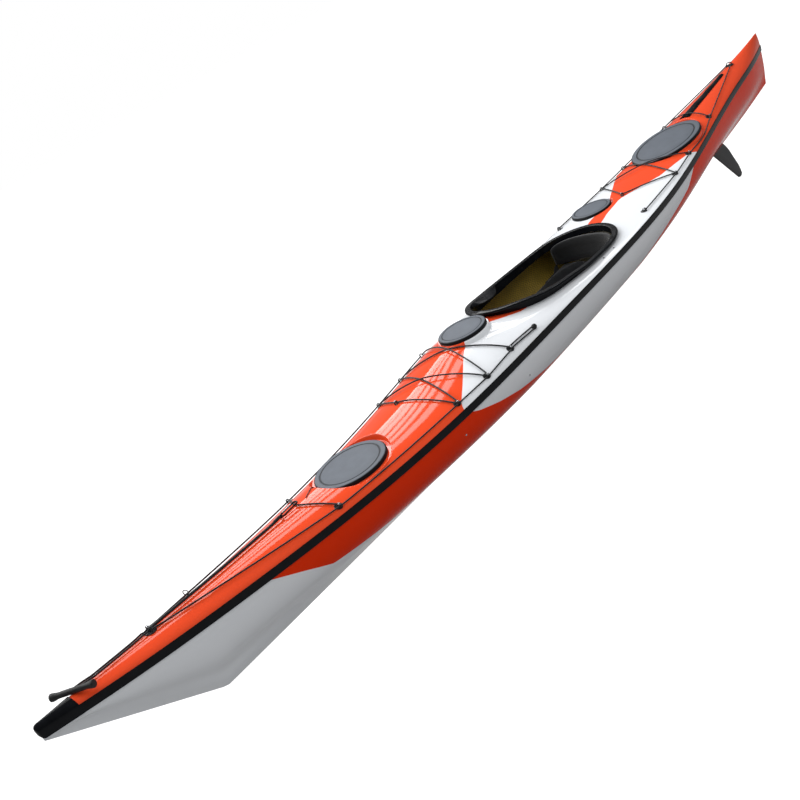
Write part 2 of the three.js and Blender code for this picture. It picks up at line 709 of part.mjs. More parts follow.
// Seam band round the joint, from the bow cap round the stern and back
function seamBand() {
  const shares = stationShares(0, CAP_SHARE).reverse();
  shares[0] -= GAP / LENGTH;
  const side = (share, sign, grow) => {
    const beam = beamAt(share) + GAP;
    const top = sheerAt(share);
    const corner = (out, z) => sectionPoint(share, sign * (beam + out), z);
    return [
      corner(0, top), corner(grow, top), corner(grow, top - BAND_WIDTH), corner(0, top - BAND_WIDTH),
    ];
  };
  const port = shares.map((share) => side(share, 1, BAND_PROUD));
  const starboard = shares.map((share) => side(share, -1, BAND_PROUD)).reverse();
  const round = (sign) => side(0, sign, BAND_PROUD).map(([x, y, z]) => (
    [x - GAP - (Math.abs(y) > beamAt(0) + GAP + BAND_PROUD / 2 ? BAND_PROUD : 0), y, z]
  ));
  return loft([...port, round(1), round(-1), ...starboard]);
}
addPiece('seam_band', seamBand(), FINISH.gloss);

// Bow cap: a thin moulding drawn over the last of the bow
function bowCap() {
  const shares = stationShares(CAP_SHARE, 1);
  const fore = (ring, distance) => ring.map(([x, y, z]) => [x + distance, y, z]);
  const outer = shares.map((share) => wholeRing(share, -CAP_WALL));
  outer.push(fore(wholeRing(1, CAP_NOSE), CAP_WALL));
  const inner = shares.map((share) => wholeRing(share, -CAP_FIT));
  inner.unshift(fore(inner[0], -CAP_WALL));
  inner.push(fore(inner[inner.length - 1], CAP_FIT));
  return cut(loft(outer), loft(inner));
}
addPiece('bow_cap', bowCap(), FINISH.gloss);

// Inside of the boat, one gap clear of the shells, to seat what stands in it
const fitted = SHELL_WALL + GAP;
const hullRoom = loft(hollowStations.map((share) => hullRing(share, fitted, 0)));
const deckRoom = loft(hollowStations.map((share) => deckRing(share, fitted, jointAt(share))));
const room = joined(hullRoom, deckRoom);

const bulkheads = { ...BULKHEAD_SHARES, bulkhead_cockpit: shareOf(coamingAft - COCKPIT_BULKHEAD_SETBACK) };
for (const [name, share] of Object.entries(bulkheads)) {
  const slab = box(BULKHEAD_WALL, BEAM, 2 * BOW_HEIGHT, alongAt(share), 0, 0);
  addPiece(name, common(room, slab), FINISH.laminate);
}

// Hatch rims and covers
function hatchRim(place) {
  const outer = place.halfWidth - SEAL_WIDTH;
  const inner = outer - RIM_WALL;
  const flange = GAP + RIM_FLANGE;
  return hatchTurned(place, [
    [inner, -RIM_SLEEVE], [outer, -RIM_SLEEVE], [outer, GAP], [place.halfWidth, GAP],
    [place.halfWidth, flange], [outer, flange + RIM_STAND], [inner, flange + RIM_STAND],
    [inner, -RIM_SLEEVE],
  ]);
}

function hatchCover(place) {
  const radius = place.halfWidth;
  const skirt = 2 * GAP + RIM_FLANGE;
  const under = skirt + RIM_STAND;
  const high = COVER_RISE;
  const low = COVER_RISE - COVER_STEP;
  return hatchTurned(place, [
    [0, under], [radius - SEAL_WIDTH, under], [radius, skirt],
    [radius, high - COVER_ROUND], [radius - COVER_ROUND, high],
    [radius * COVER_STEP_SHARES[0], high], [radius * COVER_STEP_SHARES[1], low], [0, low],
  ]);
}

for (const [name, place] of Object.entries(HATCHES)) {
  addPiece(`${name}_hatch_rim`, hatchRim(place), FINISH.rubber);
  addPiece(`${name}_hatch_cover`, hatchCover(place), FINISH.cover);
}

// Knee pod: a tub hung under the small front hatch
function kneePod(place) {
  const inner = place.halfWidth - SEAL_WIDTH + GAP;
  const outer = inner + POD_WALL;
  const flange = place.halfWidth + place.margin - SHELL_WALL - GAP;
  const top = -SHELL_WALL - GAP;
  const bottom = top - POD_DEPTH;
  return hatchTurned(place, [
    [0, bottom], [outer * POD_TAPER_SHARE, bottom], [outer, top - POD_WALL], [flange, top - POD_WALL],
    [flange, top], [inner, top], [inner, top - RIM_SLEEVE],
    [inner * POD_TAPER_SHARE, bottom + POD_WALL], [0, bottom + POD_WALL],
  ]);
}
addPiece('knee_pod', kneePod(HATCHES.knee), FINISH.laminate);

// Coaming: riser and outward lip swept round the cockpit, with thigh braces inside the front
function coaming() {
  const widest = (BRACE_PLACE_SHARES[0] + BRACE_PLACE_SHARES[1]) / 2;
  const halfSpan = (BRACE_PLACE_SHARES[1] - BRACE_PLACE_SHARES[0]) / 2;
  const rings = [];
  const levels = [0, LIP_WALL, LIP_WIDTH, LIP_WIDTH + RISER_WALL].map((inset) => cockpitPlan(inset));
  for (let i = 0; i < COCKPIT_POINTS; i++) {
    const [edge, under, riser, inside] = levels.map((plan) => plan[i]);
    const brace = Math.max(0, 1 - ((edge.back - widest) / halfSpan) ** 2);
    const reach = BRACE_REACH * brace * Math.sign(edge.y);
    const deck = deckHeight(shareOf(edge.x), edge.y);
    const top = deck + COAMING_RISE * coamingRise(edge.back);
    const foot = deckHeight(shareOf(riser.x), riser.y) - SHELL_WALL - RISER_FOOT;
    const shelf = top - BRACE_DROP;
    rings.push([
      [edge.x, edge.y, top - LIP_DROP],
      [edge.x, edge.y, top - LIP_WALL],
      [under.x, under.y, top],
      [inside.x, inside.y, top],
      [inside.x, inside.y - reach, shelf],
      [inside.x, inside.y - reach, shelf - BRACE_WALL],
      [inside.x, inside.y, shelf - BRACE_WALL - LIP_WALL],
      [inside.x, inside.y, foot],
      [riser.x, riser.y, foot],
      [riser.x, riser.y, top - LIP_WALL],
      [under.x, under.y, top - LIP_WALL],
      [under.x, under.y, top - LIP_DROP],
    ]);
  }
  return loft(rings, true);
}
addPiece('coaming', coaming(), FINISH.gloss);

// Seat: a foam block bedded on the hull with a scooped top and pivot bosses for the back band
const seatX = coamingAft + SEAT_AHEAD + SEAT_LENGTH / 2;
const pivotX = coamingAft + BAND_PIVOT_AHEAD;
const pivotZ = SEAT_HEIGHT - PIVOT_BOSS - PIVOT_RADIUS;

function seat() {
  const block = box(SEAT_LENGTH, SEAT_WIDTH, 2 * SEAT_HEIGHT, seatX, 0, 0);
  const scoop = new THREE.SphereGeometry(1, 16, 10);
  scoop.scale(SEAT_SCOOP_LENGTH / 2, SEAT_SCOOP_WIDTH / 2, SEAT_SCOOP_DEPTH).translate(seatX, 0, SEAT_HEIGHT);
  const bossLength = SEAT_WIDTH + 2 * (BAND_ARM_WALL + 2 * GAP);
  const boss = new THREE.CylinderGeometry(PIVOT_RADIUS, PIVOT_RADIUS, bossLength, FITTING_SIDES);
  return cut(joined(common(block, room), solid(boss.translate(pivotX, 0, pivotZ))), solid(scoop));
}
addPiece('seat', seat(), FINISH.foam);

// Back band: a curved pad on two side arms that turn on the seat's bosses
function backBand() {
  const inner = SEAT_WIDTH / 2 + GAP;
  const outer = inner + BAND_ARM_WALL;
  const radius = outer;
  const depth = BAND_DEPTH;
  const bottom = pivotZ + BAND_PAD_RAISE;
  const straight = BAND_ARM_LENGTH - depth;
  const plan = new THREE.Shape();
  plan.absellipse(pivotX - straight, 0, depth, radius, Math.PI / 2, 3 * Math.PI / 2);
  plan.absellipse(pivotX - straight, 0, depth - BAND_PAD_WALL, inner, 3 * Math.PI / 2, Math.PI / 2, true);
  plan.closePath();
  const settings = { depth: BAND_PAD_HEIGHT, bevelEnabled: false, curveSegments: 12 };
  const pad = solid(new THREE.ExtrudeGeometry(plan, settings).translate(0, 0, bottom));
  const arm = (sign) => {
    const armLength = straight + 2 * PIVOT_BOSS;
    const armX = pivotX + PIVOT_BOSS - armLength / 2;
    return box(armLength, BAND_ARM_WALL, BAND_ARM_HEIGHT, armX, sign * (inner + BAND_ARM_WALL / 2), pivotZ);
  };
  const link = (sign) => box(
    PIVOT_BOSS * 2, BAND_ARM_WALL, BAND_PAD_HEIGHT / 2 + BAND_PAD_RAISE,
    pivotX - straight, sign * (inner + BAND_ARM_WALL / 2), pivotZ + BAND_PAD_HEIGHT / 4,
  );
  const eyeRadius = PIVOT_RADIUS + PIVOT_CLEAR;
  const eye = new THREE.CylinderGeometry(eyeRadius, eyeRadius, BEAM, FITTING_SIDES);
  const whole = joined(pad, arm(1), arm(-1), link(1), link(-1));
  return cut(whole, solid(eye.translate(pivotX, 0, pivotZ)));
}
addPiece('back_band', backBand(), FINISH.foam);

// Foot braces: a grooved rail bolted inside each topside, and a pedal that slides along it
const railX = alongAt(RAIL_AFT_SHARE) + RAIL_LENGTH / 2;

// Inside half breadth of the hull at a height, read off the section
function hullInside(share, z) {
  const half = hullHalf(share, SHELL_WALL);
  for (let i = 1; i < half.length; i++) {
    const [y0, z0] = half[i - 1];
    const [y1, z1] = half[i];
    if (z <= z0 && z >= z1) return y0 + (y1 - y0) * (z0 - z) / (z0 - z1);
  }
  return half[0][0];
}
const railAft = hullInside(RAIL_AFT_SHARE, RAIL_LIFT);
const railFore = hullInside(RAIL_AFT_SHARE + RAIL_LENGTH / HULL_LENGTH, RAIL_LIFT);
const railYaw = Math.atan((railFore - railAft) / RAIL_LENGTH);
const railY = Math.min(railAft, railFore) + Math.abs(railFore - railAft) / 2 - RAIL_OFFSET;

function alongRail(geometry, sign) {
  return geometry.rotateZ(sign * railYaw).translate(railX, sign * railY, RAIL_LIFT);
}

for (const [side, sign] of [['port', 1], ['starboard', -1]]) {
  const bar = new THREE.BoxGeometry(RAIL_LENGTH, RAIL_DEPTH, RAIL_HEIGHT);
  const groove = new THREE.BoxGeometry(RAIL_LENGTH - 2 * BOSS_INSET, RAIL_GROOVE_DEPTH, RAIL_GROOVE)
    .translate(0, -sign * (RAIL_DEPTH - RAIL_GROOVE_DEPTH) / 2, 0);
  const bosses = [-1, 1].map((end) => {
    const boss = new THREE.CylinderGeometry(BOSS_RADIUS, BOSS_RADIUS, 2 * RAIL_OFFSET, FITTING_SIDES);
    boss.translate(end * (RAIL_LENGTH / 2 - BOSS_INSET), sign * RAIL_OFFSET, 0);
    return solid(alongRail(boss, sign));
  });
  const rail = cut(solid(alongRail(bar, sign)), solid(alongRail(groove, sign)));
  addPiece(`foot_rail_${side}`, common(joined(rail, ...bosses), room), FINISH.metal);

  const face = -sign * (RAIL_DEPTH / 2 + GAP);
  const shoe = new THREE.BoxGeometry(PEDAL_SHOE_LENGTH, PEDAL_SHOE_WALL, RAIL_HEIGHT)
    .translate(0, face - sign * PEDAL_SHOE_WALL / 2, 0);
  const key = new THREE.BoxGeometry(PEDAL_SHOE_LENGTH, RAIL_GROOVE_DEPTH, RAIL_GROOVE - 2 * GAP)
    .translate(0, -sign * (RAIL_DEPTH - RAIL_GROOVE_DEPTH) / 2 - sign * 2 * GAP, 0);
  const inboard = -sign * PEDAL_WIDTH;
  const outline = new THREE.Shape();
  outline.moveTo(0, PEDAL_HEIGHT / 2);
  outline.lineTo(0, PEDAL_BEVEL_SHARE * PEDAL_HEIGHT - PEDAL_HEIGHT / 2);
  outline.lineTo(inboard * PEDAL_BEVEL_SHARE, -PEDAL_HEIGHT / 2);
  outline.lineTo(inboard, -PEDAL_HEIGHT / 2);
  outline.lineTo(inboard, PEDAL_HEIGHT / 2);
  const plate = prism(outline, PEDAL_WALL).rotateX(Math.PI / 2).rotateZ(Math.PI / 2)
    .translate(-PEDAL_SHOE_LENGTH / 2, face, 0);
  const ribs = [];
  for (let i = 0; i < PEDAL_RIBS; i++) {
    const height = (i / PEDAL_RIBS) * PEDAL_HEIGHT / 2 + PEDAL_RIB;
    const rib = new THREE.BoxGeometry(2 * PEDAL_RIB, PEDAL_WIDTH, PEDAL_RIB)
      .translate(-PEDAL_SHOE_LENGTH / 2, face + inboard / 2, height);
    ribs.push(solid(alongRail(rib, sign)));
  }
  const parts = [shoe, key, plate].map((part) => solid(alongRail(part, sign)));
  addPiece(`foot_pedal_${side}`, joined(...parts, ...ribs), FINISH.rubber);
}

// Where each fitting sits on the deck
const seats = Object.fromEntries(
  Object.entries(FITTING_SHARES).map(([name, place]) => [name, deckSeat(...place)]),
);

// A cord's stop at a fitting, shifted outboard and ahead of its middle. A crossing leg is raised
// by raise on its way to the stop, and rest lifts the cord at the stop itself.
function stop(name, outboard = 0, ahead = 0, { raise = 0, rest = 0, turn = 0 } = {}) {
  const [share, sideShare] = FITTING_SHARES[name];
  const out = (Math.sign(sideShare) || 1) * outboard * seats[name].normal.z;
  const y = sideShare * beamAt(share) + out;
  return { share: share + ahead / HULL_LENGTH, y, raise, rest, turn };
}

const hook = (name, raise = 0) => stop(name, -HOOK_SIDE, 0, { raise, turn: TURN_RADIUS });
const via = (share, sideShare, raise = 0) => (
  { share, y: sideShare * beamAt(share), raise, rest: 0, turn: 0 }
);

// Points round a stop, from one heading to the next, with the cord outside the turn
function turnAt(spot, radius, before, after) {
  if (radius === 0) return [spot];
  const side = Math.sign(before.cross(after));
  const sweep = Math.acos(THREE.MathUtils.clamp(before.dot(after), -1, 1));
  const start = before.angle() - side * Math.PI / 2;
  const parts = Math.ceil(sweep / TURN_STEP);
  const points = [];
  for (let k = 0; k <= parts; k++) {
    const angle = start + side * sweep * k / parts;
    points.push(new THREE.Vector2(Math.cos(angle), Math.sin(angle)).multiplyScalar(radius).add(spot));
  }
  return points;
}

// Route over the deck from stop to stop, with the cord's middle one lift above the deck
function deckRoute(stops, lift, step) {
  const route = [];
  const plan = stops.map(({ share, y }) => new THREE.Vector2(alongAt(share), y));
  const headings = plan.slice(1).map((spot, i) => spot.clone().sub(plan[i]).normalize());
  const lay = (spot, raise) => {
    const share = shareOf(spot.x);
    const { point, normal } = deckSeat(share, spot.y / beamAt(share));
    route.push(point.addScaledVector(normal, lift + raise));
  };
  let leaves = plan[0];
  lay(leaves, stops[0].rest);
  for (let i = 1; i < plan.length; i++) {
    const { turn, raise, rest } = stops[i];
    const isLast = i === plan.length - 1;
    const arrives = isLast ? [plan[i]] : turnAt(plan[i], turn, headings[i - 1], headings[i]);
    const pieces = Math.max(2, Math.round(leaves.distanceTo(arrives[0]) / step));
    for (let k = 1; k < pieces; k++) {
      lay(leaves.clone().lerp(arrives[0], k / pieces), raise * Math.sin(Math.PI * k / pieces));
    }
    for (const spot of arrives) lay(spot, rest);
    leaves = arrives[arrives.length - 1];
  }
  return route;
}

function addCord(name, route, radius) {
  addPiece(name, tube(route, radius), FINISH.cord);
}

// Deck lines along both sides
for (const [side, sign] of [['port', 1], ['starboard', -1]]) {
  addCord(`deck_line_fore_${side}`, deckRoute([
    stop('bow_eye', sign * EYE_SPREAD, -EYE_INSET, { rest: EYE_REST }),
    stop(`fitting_bow_${side}`, LINE_SIDE),
    stop(`fitting_fore_${side}`, LINE_SIDE),
    stop(`fitting_knee_${side}`, LINE_SIDE),
    stop(`fitting_cockpit_${side}`, LINE_SIDE, END_INSET),
  ], CORD_LIFT, LINE_STEP), LINE_RADIUS);
  const besideDayHatch = side === 'port' ? [] : [via(dayHatchShare, -0.945)];
  addCord(`deck_line_aft_${side}`, deckRoute([
    stop(`fitting_seat_${side}`, LINE_SIDE, END_INSET),
    ...besideDayHatch,
    stop(`fitting_day_${side}`, LINE_SIDE),
    stop(`fitting_aft_${side}`, LINE_SIDE),
    via(0.25, sign * 0.945),
    via(0.233, sign * 0.962),
    stop(`fitting_stern_${side}`, LINE_SIDE),
    stop('stern_eye', sign * EYE_SPREAD, EYE_INSET, { rest: EYE_REST }),
  ], CORD_LIFT, LINE_STEP), LINE_RADIUS);
}

// Bungees: the crossing legs ride over the ones laid first
addCord('bungee_fore', deckRoute([
  stop('fitting_cockpit_port', -END_SIDE),
  hook('fitting_knee_starboard'),
  hook('fitting_fore_port'),
  via(0.681, -0.2),
  hook('fitting_fore_starboard'),
  hook('fitting_knee_port', CROSS_LIFT),
  stop('fitting_cockpit_starboard', -END_SIDE, 0, { raise: CROSS_LIFT }),
], CORD_LIFT, CORD_STEP), BUNGEE_RADIUS);
addCord('bungee_aft', deckRoute([
  stop('fitting_aft_starboard', -END_SIDE),
  hook('fitting_day_port'),
  via(0.3458, 0.04),
  hook('fitting_day_starboard'),
  stop('fitting_aft_port', -END_SIDE, 0, { raise: CROSS_LIFT }),
], CORD_LIFT, CORD_STEP), BUNGEE_RADIUS);
addCord('bungee_stern', deckRoute([
  stop('fitting_stern_port', -END_SIDE),
  { ...via(0.1925, 0, STRIP_RISE), rest: STRIP_RISE + GAP },
  stop('fitting_stern_starboard', -END_SIDE, 0, { raise: STRIP_RISE }),
], CORD_LIFT, CORD_STEP), BUNGEE_RADIUS);
addCord('bungee_bow', deckRoute([
  stop('fitting_bow_starboard', -END_SIDE),
  via(0.8012, 0),
  stop('fitting_bow_port', -END_SIDE),
], CORD_LIFT, CORD_STEP), BUNGEE_RADIUS);

// Paddle park: a doubled bungee from the cockpit fitting to the bead knotted on its end
const deckFace = deckForm.translate([0, 0, GAP]);

function paddlePark() {
  const route = deckRoute([
    stop('fitting_cockpit_port', TURN_RADIUS, -END_INSET),
    { ...via(...PARK_SHARES), turn: TURN_RADIUS },
    stop('fitting_cockpit_port', -TURN_RADIUS, -END_INSET),
  ], CORD_LIFT, CORD_STEP);
  const bead = new THREE.SphereGeometry(BEAD_RADIUS, 10, 6).translate(0, 0, CORD_LIFT);
  return joined(cut(solid(seated(bead, deckSeat(...PARK_SHARES))), deckFace), tube(route, BUNGEE_RADIUS));
}
addPiece('paddle_park', paddlePark(), FINISH.cord);

// Painter: a thick line along the foredeck ridge from its snap clip to the bow eye
const clipX = alongAt(CLIP_SHARE);
const clipZ = ridgeAt(CLIP_SHARE) + CLIP_LIFT;
const painterLift = CORD_LIFT - LINE_RADIUS + PAINTER_RADIUS;
const painterStart = {
  share: CLIP_SHARE + (CLIP_LENGTH / 2 + CLIP_CLEAR) / HULL_LENGTH,
  y: 0,
  rest: CLIP_LIFT + CLIP_WALL / 2 - painterLift,
};
const painterRoute = deckRoute([
  painterStart,
  stop('bow_eye', 0, -EYE_INSET, { rest: FITTING_BASE + PAINTER_RADIUS + GAP - painterLift }),
], painterLift, LINE_STEP);
addCord('painter', painterRoute, PAINTER_RADIUS);

function snapClip() {
  const outline = new THREE.Shape();
  const eye = new THREE.Path();
  const straight = (CLIP_LENGTH - CLIP_WIDTH) / 2;
  const radius = CLIP_WIDTH / 2;
  outline.absarc(straight, 0, radius, -Math.PI / 2, Math.PI / 2);
  outline.absarc(-straight, 0, radius, Math.PI / 2, 3 * Math.PI / 2);
  eye.absarc(straight, 0, radius - CLIP_WALL, -Math.PI / 2, Math.PI / 2);
  eye.absarc(-straight, 0, radius - CLIP_WALL, Math.PI / 2, 3 * Math.PI / 2);
  outline.holes.push(eye);
  const settings = { depth: CLIP_WALL, bevelEnabled: false, curveSegments: 8 };
  return solid(new THREE.ExtrudeGeometry(outline, settings).translate(clipX, 0, clipZ));
}
addPiece('snap_clip', snapClip(), FINISH.gloss);

// Bow toggle: a waisted grip across the deck on its loop of cord
const toggleX = alongAt(TOGGLE_SHARE);
const toggleZ = ridgeAt(TOGGLE_SHARE) + TOGGLE_WAIST + 2 * GAP;
const eyeFront = alongAt(FITTING_SHARES.bow_eye[0]) + EYE_RADIUS + LINE_RADIUS + 2 * GAP;
const toggleStart = shareOf(eyeFront);
const toggleEnd = TOGGLE_SHARE - TURN_RADIUS / HULL_LENGTH;
const loopRoute = deckRoute([
  { share: toggleStart, y: TURN_RADIUS, rest: EYE_REST },
  { share: toggleEnd, y: 0, rest: 0, raise: 0, turn: TURN_RADIUS },
  { share: toggleStart, y: -TURN_RADIUS, rest: EYE_REST, raise: 0 },
], CORD_LIFT, CORD_STEP);
const loopEnd = toggleX - TURN_RADIUS;
const climbFrom = toggleX - TOGGLE_CLIMB;
for (const point of loopRoute) {
  const climb = THREE.MathUtils.clamp((point.x - climbFrom) / (loopEnd - climbFrom), 0, 1);
  point.z = THREE.MathUtils.lerp(point.z, toggleZ, climb);
}
addCord('toggle_cord', loopRoute, LINE_RADIUS);

function toggle() {
  const half = TOGGLE_LENGTH / 2;
  const end = TOGGLE_RADIUS - TOGGLE_ROUND;
  const grip = turned([
    [0, -half], [end, -half], [TOGGLE_RADIUS, TOGGLE_ROUND - half], [TOGGLE_RADIUS, TOGGLE_KNOB - half],
    [TOGGLE_WAIST, TOGGLE_NECK - half], [TOGGLE_WAIST, half - TOGGLE_NECK],
    [TOGGLE_RADIUS, half - TOGGLE_KNOB], [TOGGLE_RADIUS, half - TOGGLE_ROUND], [end, half], [0, half],
  ], GRIP_SIDES);
  grip.rotateX(Math.PI / 2).rotateZ(TOGGLE_YAW).translate(toggleX, 0, toggleZ);
  return cut(solid(grip), tube(loopRoute, LINE_RADIUS + GAP));
}
addPiece('bow_toggle', toggle(), FINISH.rubber);

// Deck fittings: a base bedded on the deck and a bail that the cords run under and hook on
function deckFitting(name) {
  const isEye = name.endsWith('_eye');
  const radius = isEye ? EYE_RADIUS : FITTING_RADIUS;
  const base = turned([
    [0, -FITTING_SINK], [radius, -FITTING_SINK], [radius, FITTING_BASE], [0, FITTING_BASE],
  ], FITTING_SIDES);
  const outward = Math.sign(FITTING_SHARES[name][1]) || 1;
  const inner = isEye ? -EYE_BAIL : -HOOK_SIDE;
  const outer = isEye ? EYE_BAIL : LINE_SIDE + LINE_RADIUS + BAIL_CLEAR + BAIL_WALL / 2;
  const height = isEye ? EYE_HEIGHT : FITTING_HEIGHT;
  const middle = outward * (inner + outer) / 2;
  const span = (outer - inner) / 2;
  const half = BAIL_WALL / 2;
  const archSide = (side, wall) => [
    [middle + side * (span - wall), 0],
    [middle + side * (span - wall), height - half + wall - BAIL_CROWN],
    [middle + side * (span - wall - BAIL_CROWN), height - half - wall],
  ];
  const outline = [
    ...archSide(-1, -half), ...archSide(1, -half).reverse(),
    ...archSide(1, half), ...archSide(-1, half).reverse(),
  ];
  const arch = new THREE.Shape(outline.map(([across, up]) => new THREE.Vector2(across, up)));
  const settings = { depth: BAIL_DEPTH, bevelEnabled: false };
  const bail = new THREE.ExtrudeGeometry(arch, settings)
    .translate(0, 0, -BAIL_DEPTH / 2).rotateX(Math.PI / 2).rotateZ(Math.PI / 2);
  const seat = seats[name];
  return cut(joined(solid(seated(base, seat)), solid(seated(bail, seat))), deckFace);
}
for (const name of Object.keys(FITTING_SHARES)) addPiece(name, deckFitting(name), FINISH.rubber);

// Stern deck strip: a crowned moulding over the middle line above the skeg case
function deckStrip() {
  const rings = [];
  for (let i = 0; i <= STRIP_STATIONS; i++) {
    const along = i / STRIP_STATIONS;
    const share = STRIP_SHARES[0] + (STRIP_SHARES[1] - STRIP_SHARES[0]) * along;
    const half = STRIP_WIDTH / 2 * (STRIP_TAPER_SHARE + (1 - STRIP_TAPER_SHARE) * along);
    const ridge = ridgeAt(share);
    const edge = deckHeight(share, half);
    const row = [[half, edge - STRIP_RISE], [half, edge + STRIP_EDGE]];
    const crown = [[half * STRIP_CROWN_SHARE, ridge + STRIP_CROWN], [0, ridge + STRIP_RISE]];
    const port = [...row, ...crown];
    rings.push([...port, ...mirrored(port).reverse().slice(1)].map(([y, z]) => [alongAt(share), y, z]));
  }
  return cut(loft(rings), deckFace);
}
addPiece('stern_deck_strip', deckStrip(), FINISH.gloss);

// Skeg control: a grooved track on the side deck and the knob that runs in it
const sliderSeat = deckSeat(...SLIDER_PLACE_SHARES);

function skegTrack() {
  const low = SLIDER_TRACK_HEIGHT;
  const bar = new THREE.BoxGeometry(SLIDER_TRACK_LENGTH, SLIDER_TRACK_WIDTH, 2 * low);
  const groove = new THREE.BoxGeometry(SLIDER_TRACK_LENGTH - SLIDER_TRACK_WIDTH, SLIDER_GROOVE, low)
    .translate(0, 0, low / 2 + SLIDER_FLOOR);
  return cut(solid(seated(bar, sliderSeat)), solid(seated(groove, sliderSeat)), deckFace);
}

function skegKnob() {
  const top = SLIDER_TRACK_HEIGHT + GAP;
  const key = SLIDER_TRACK_HEIGHT - SLIDER_FLOOR - GAP;
  const rest = -SLIDER_TRAVEL / 2;
  const stem = new THREE.BoxGeometry(SLIDER_LENGTH, SLIDER_GROOVE - 2 * GAP, key + 2 * GAP)
    .translate(rest, 0, SLIDER_FLOOR + GAP + (key + 2 * GAP) / 2);
  const outline = new THREE.Shape();
  const half = SLIDER_LENGTH / 2;
  outline.moveTo(-half, 0);
  outline.quadraticCurveTo(-half, SLIDER_HEIGHT, 0, SLIDER_HEIGHT / 2);
  outline.quadraticCurveTo(half, SLIDER_HEIGHT, half, 0);
  const settings = { depth: SLIDER_TRACK_WIDTH, bevelEnabled: false, curveSegments: 6 };
  const head = new THREE.ExtrudeGeometry(outline, settings)
    .translate(0, 0, -SLIDER_TRACK_WIDTH / 2).rotateX(Math.PI / 2).translate(rest, 0, top);
  return joined(solid(seated(stem, sliderSeat)), solid(seated(head, sliderSeat)));
}
addPiece('skeg_track', skegTrack(), FINISH.rubber);
addPiece('skeg_knob', skegKnob(), FINISH.gloss);

export default boat;
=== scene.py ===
import math

import bmesh
import bpy
import numpy as np
from mathutils import Matrix, Vector
from mathutils.geometry import delaunay_2d_cdt


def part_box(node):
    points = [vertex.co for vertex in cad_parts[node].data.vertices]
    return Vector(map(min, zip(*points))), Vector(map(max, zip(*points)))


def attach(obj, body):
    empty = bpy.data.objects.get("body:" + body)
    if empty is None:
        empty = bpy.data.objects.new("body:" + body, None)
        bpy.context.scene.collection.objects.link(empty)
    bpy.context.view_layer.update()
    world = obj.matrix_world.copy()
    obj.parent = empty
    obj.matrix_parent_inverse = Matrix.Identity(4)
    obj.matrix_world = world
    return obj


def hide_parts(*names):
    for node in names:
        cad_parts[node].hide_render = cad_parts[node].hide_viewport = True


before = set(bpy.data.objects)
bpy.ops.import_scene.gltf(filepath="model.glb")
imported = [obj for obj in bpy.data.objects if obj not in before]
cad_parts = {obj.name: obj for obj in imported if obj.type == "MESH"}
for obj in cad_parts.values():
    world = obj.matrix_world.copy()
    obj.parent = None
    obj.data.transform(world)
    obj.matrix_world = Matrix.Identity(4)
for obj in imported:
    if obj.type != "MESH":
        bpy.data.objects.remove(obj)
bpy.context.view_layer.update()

# Camera: it stands off the port bow, a little above the deck, and looks down the length of the
# boat to the stern. It is rolled so that the boat lies on the picture's diagonal.
CAMERA_PLACE = Vector((2.9405, 2.5802, 1.7014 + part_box("hull_shell")[0].z))
CAMERA_SIGHT = Vector((-0.5684, -0.7287, -0.3821)).normalized()
CAMERA_UPRIGHT = Vector((-0.5806, 0.0261, 0.8138))
SENSOR_WIDTH_MM = 36
LENS_MM = 44.05
SIGHT_RANGE = (0.05, 80)
camera_data = bpy.data.cameras.new("photo_camera")
camera_data.sensor_width = SENSOR_WIDTH_MM
camera_data.lens = LENS_MM
camera_data.clip_start, camera_data.clip_end = SIGHT_RANGE
camera = bpy.data.objects.new("photo_camera", camera_data)
bpy.context.scene.collection.objects.link(camera)
camera_right = CAMERA_SIGHT.cross(CAMERA_UPRIGHT).normalized()
camera_up = camera_right.cross(CAMERA_SIGHT)
camera_turn = Matrix((camera_right, camera_up, -CAMERA_SIGHT)).transposed().to_4x4()
camera.matrix_world = Matrix.Translation(CAMERA_PLACE) @ camera_turn
bpy.context.scene.camera = camera
bpy.context.scene.view_settings.view_transform = "Standard"


# Lines of the boat: the sheer, the ridge and the half beam are fair curves through the places
# where the builder sets them, in shares of the length, the beam and the height of the bow. The
# sections between them are single soft curves, and the mouldings are laid up to these lines.
STERN_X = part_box("deck_shell")[0].x
HULL_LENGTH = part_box("deck_shell")[1].x - STERN_X
KEEL_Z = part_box("hull_shell")[0].z
BEAM = 0.548
BOW_HEIGHT = 0.432
SHELL_WALL = 0.004
KEEL_FLAT = 0.05
BILGE_ROUND = 0.086
STERN_FOOT_RISE = 0.133
FOREFOOT_RISE = 0.071
STEM_TOP_RISE = 0.37
KEEL_SHARE_AFT = 0.413
KEEL_SHARE_FORE = 0.591
FOREFOOT_SHARE = 0.9055
ROCKER_SHARE = 1.2
STERN_RAKE_SHARE = 0.216
STERN_RAKE_END_SHARE = 0.08
BAND_WIDTH = 0.029
LINE_SHARES = [0, 0.05, 0.12, 0.22, 0.33, 0.44, 0.55, 0.66, 0.77, 0.87, 0.95, 1]
HALF_BEAM_SHARES = [0.044, 0.226, 0.38, 0.618, 0.874, 0.99, 0.999, 0.872, 0.615, 0.379, 0.207, 0.053]
SHEER_SHARES = [0.784, 0.772, 0.739, 0.667, 0.607, 0.606, 0.627, 0.611, 0.637, 0.742, 0.87, 0.961]
RIDGE_LINE_SHARES = [0, 0.05, 0.12, 0.22, 0.308, 0.399, 0.577, 0.599, 0.64, 0.696, 0.77, 0.87, 0.95, 1]
RIDGE_SHARES = [
    0.944, 0.895, 0.844, 0.7815, 0.7, 0.6574, 0.8148, 0.8426, 0.7986, 0.7488, 0.7674, 0.8445, 0.9325,
    0.9928,
]
HULL_SIDE_SHARES = (0.9775, 0.6987)
HULL_DROP_SHARE = 0.6736
DECK_SIDE_SHARES = (0.8917, 0.3269)
DECK_RISE_SHARES = (0.4845, 0.9465)
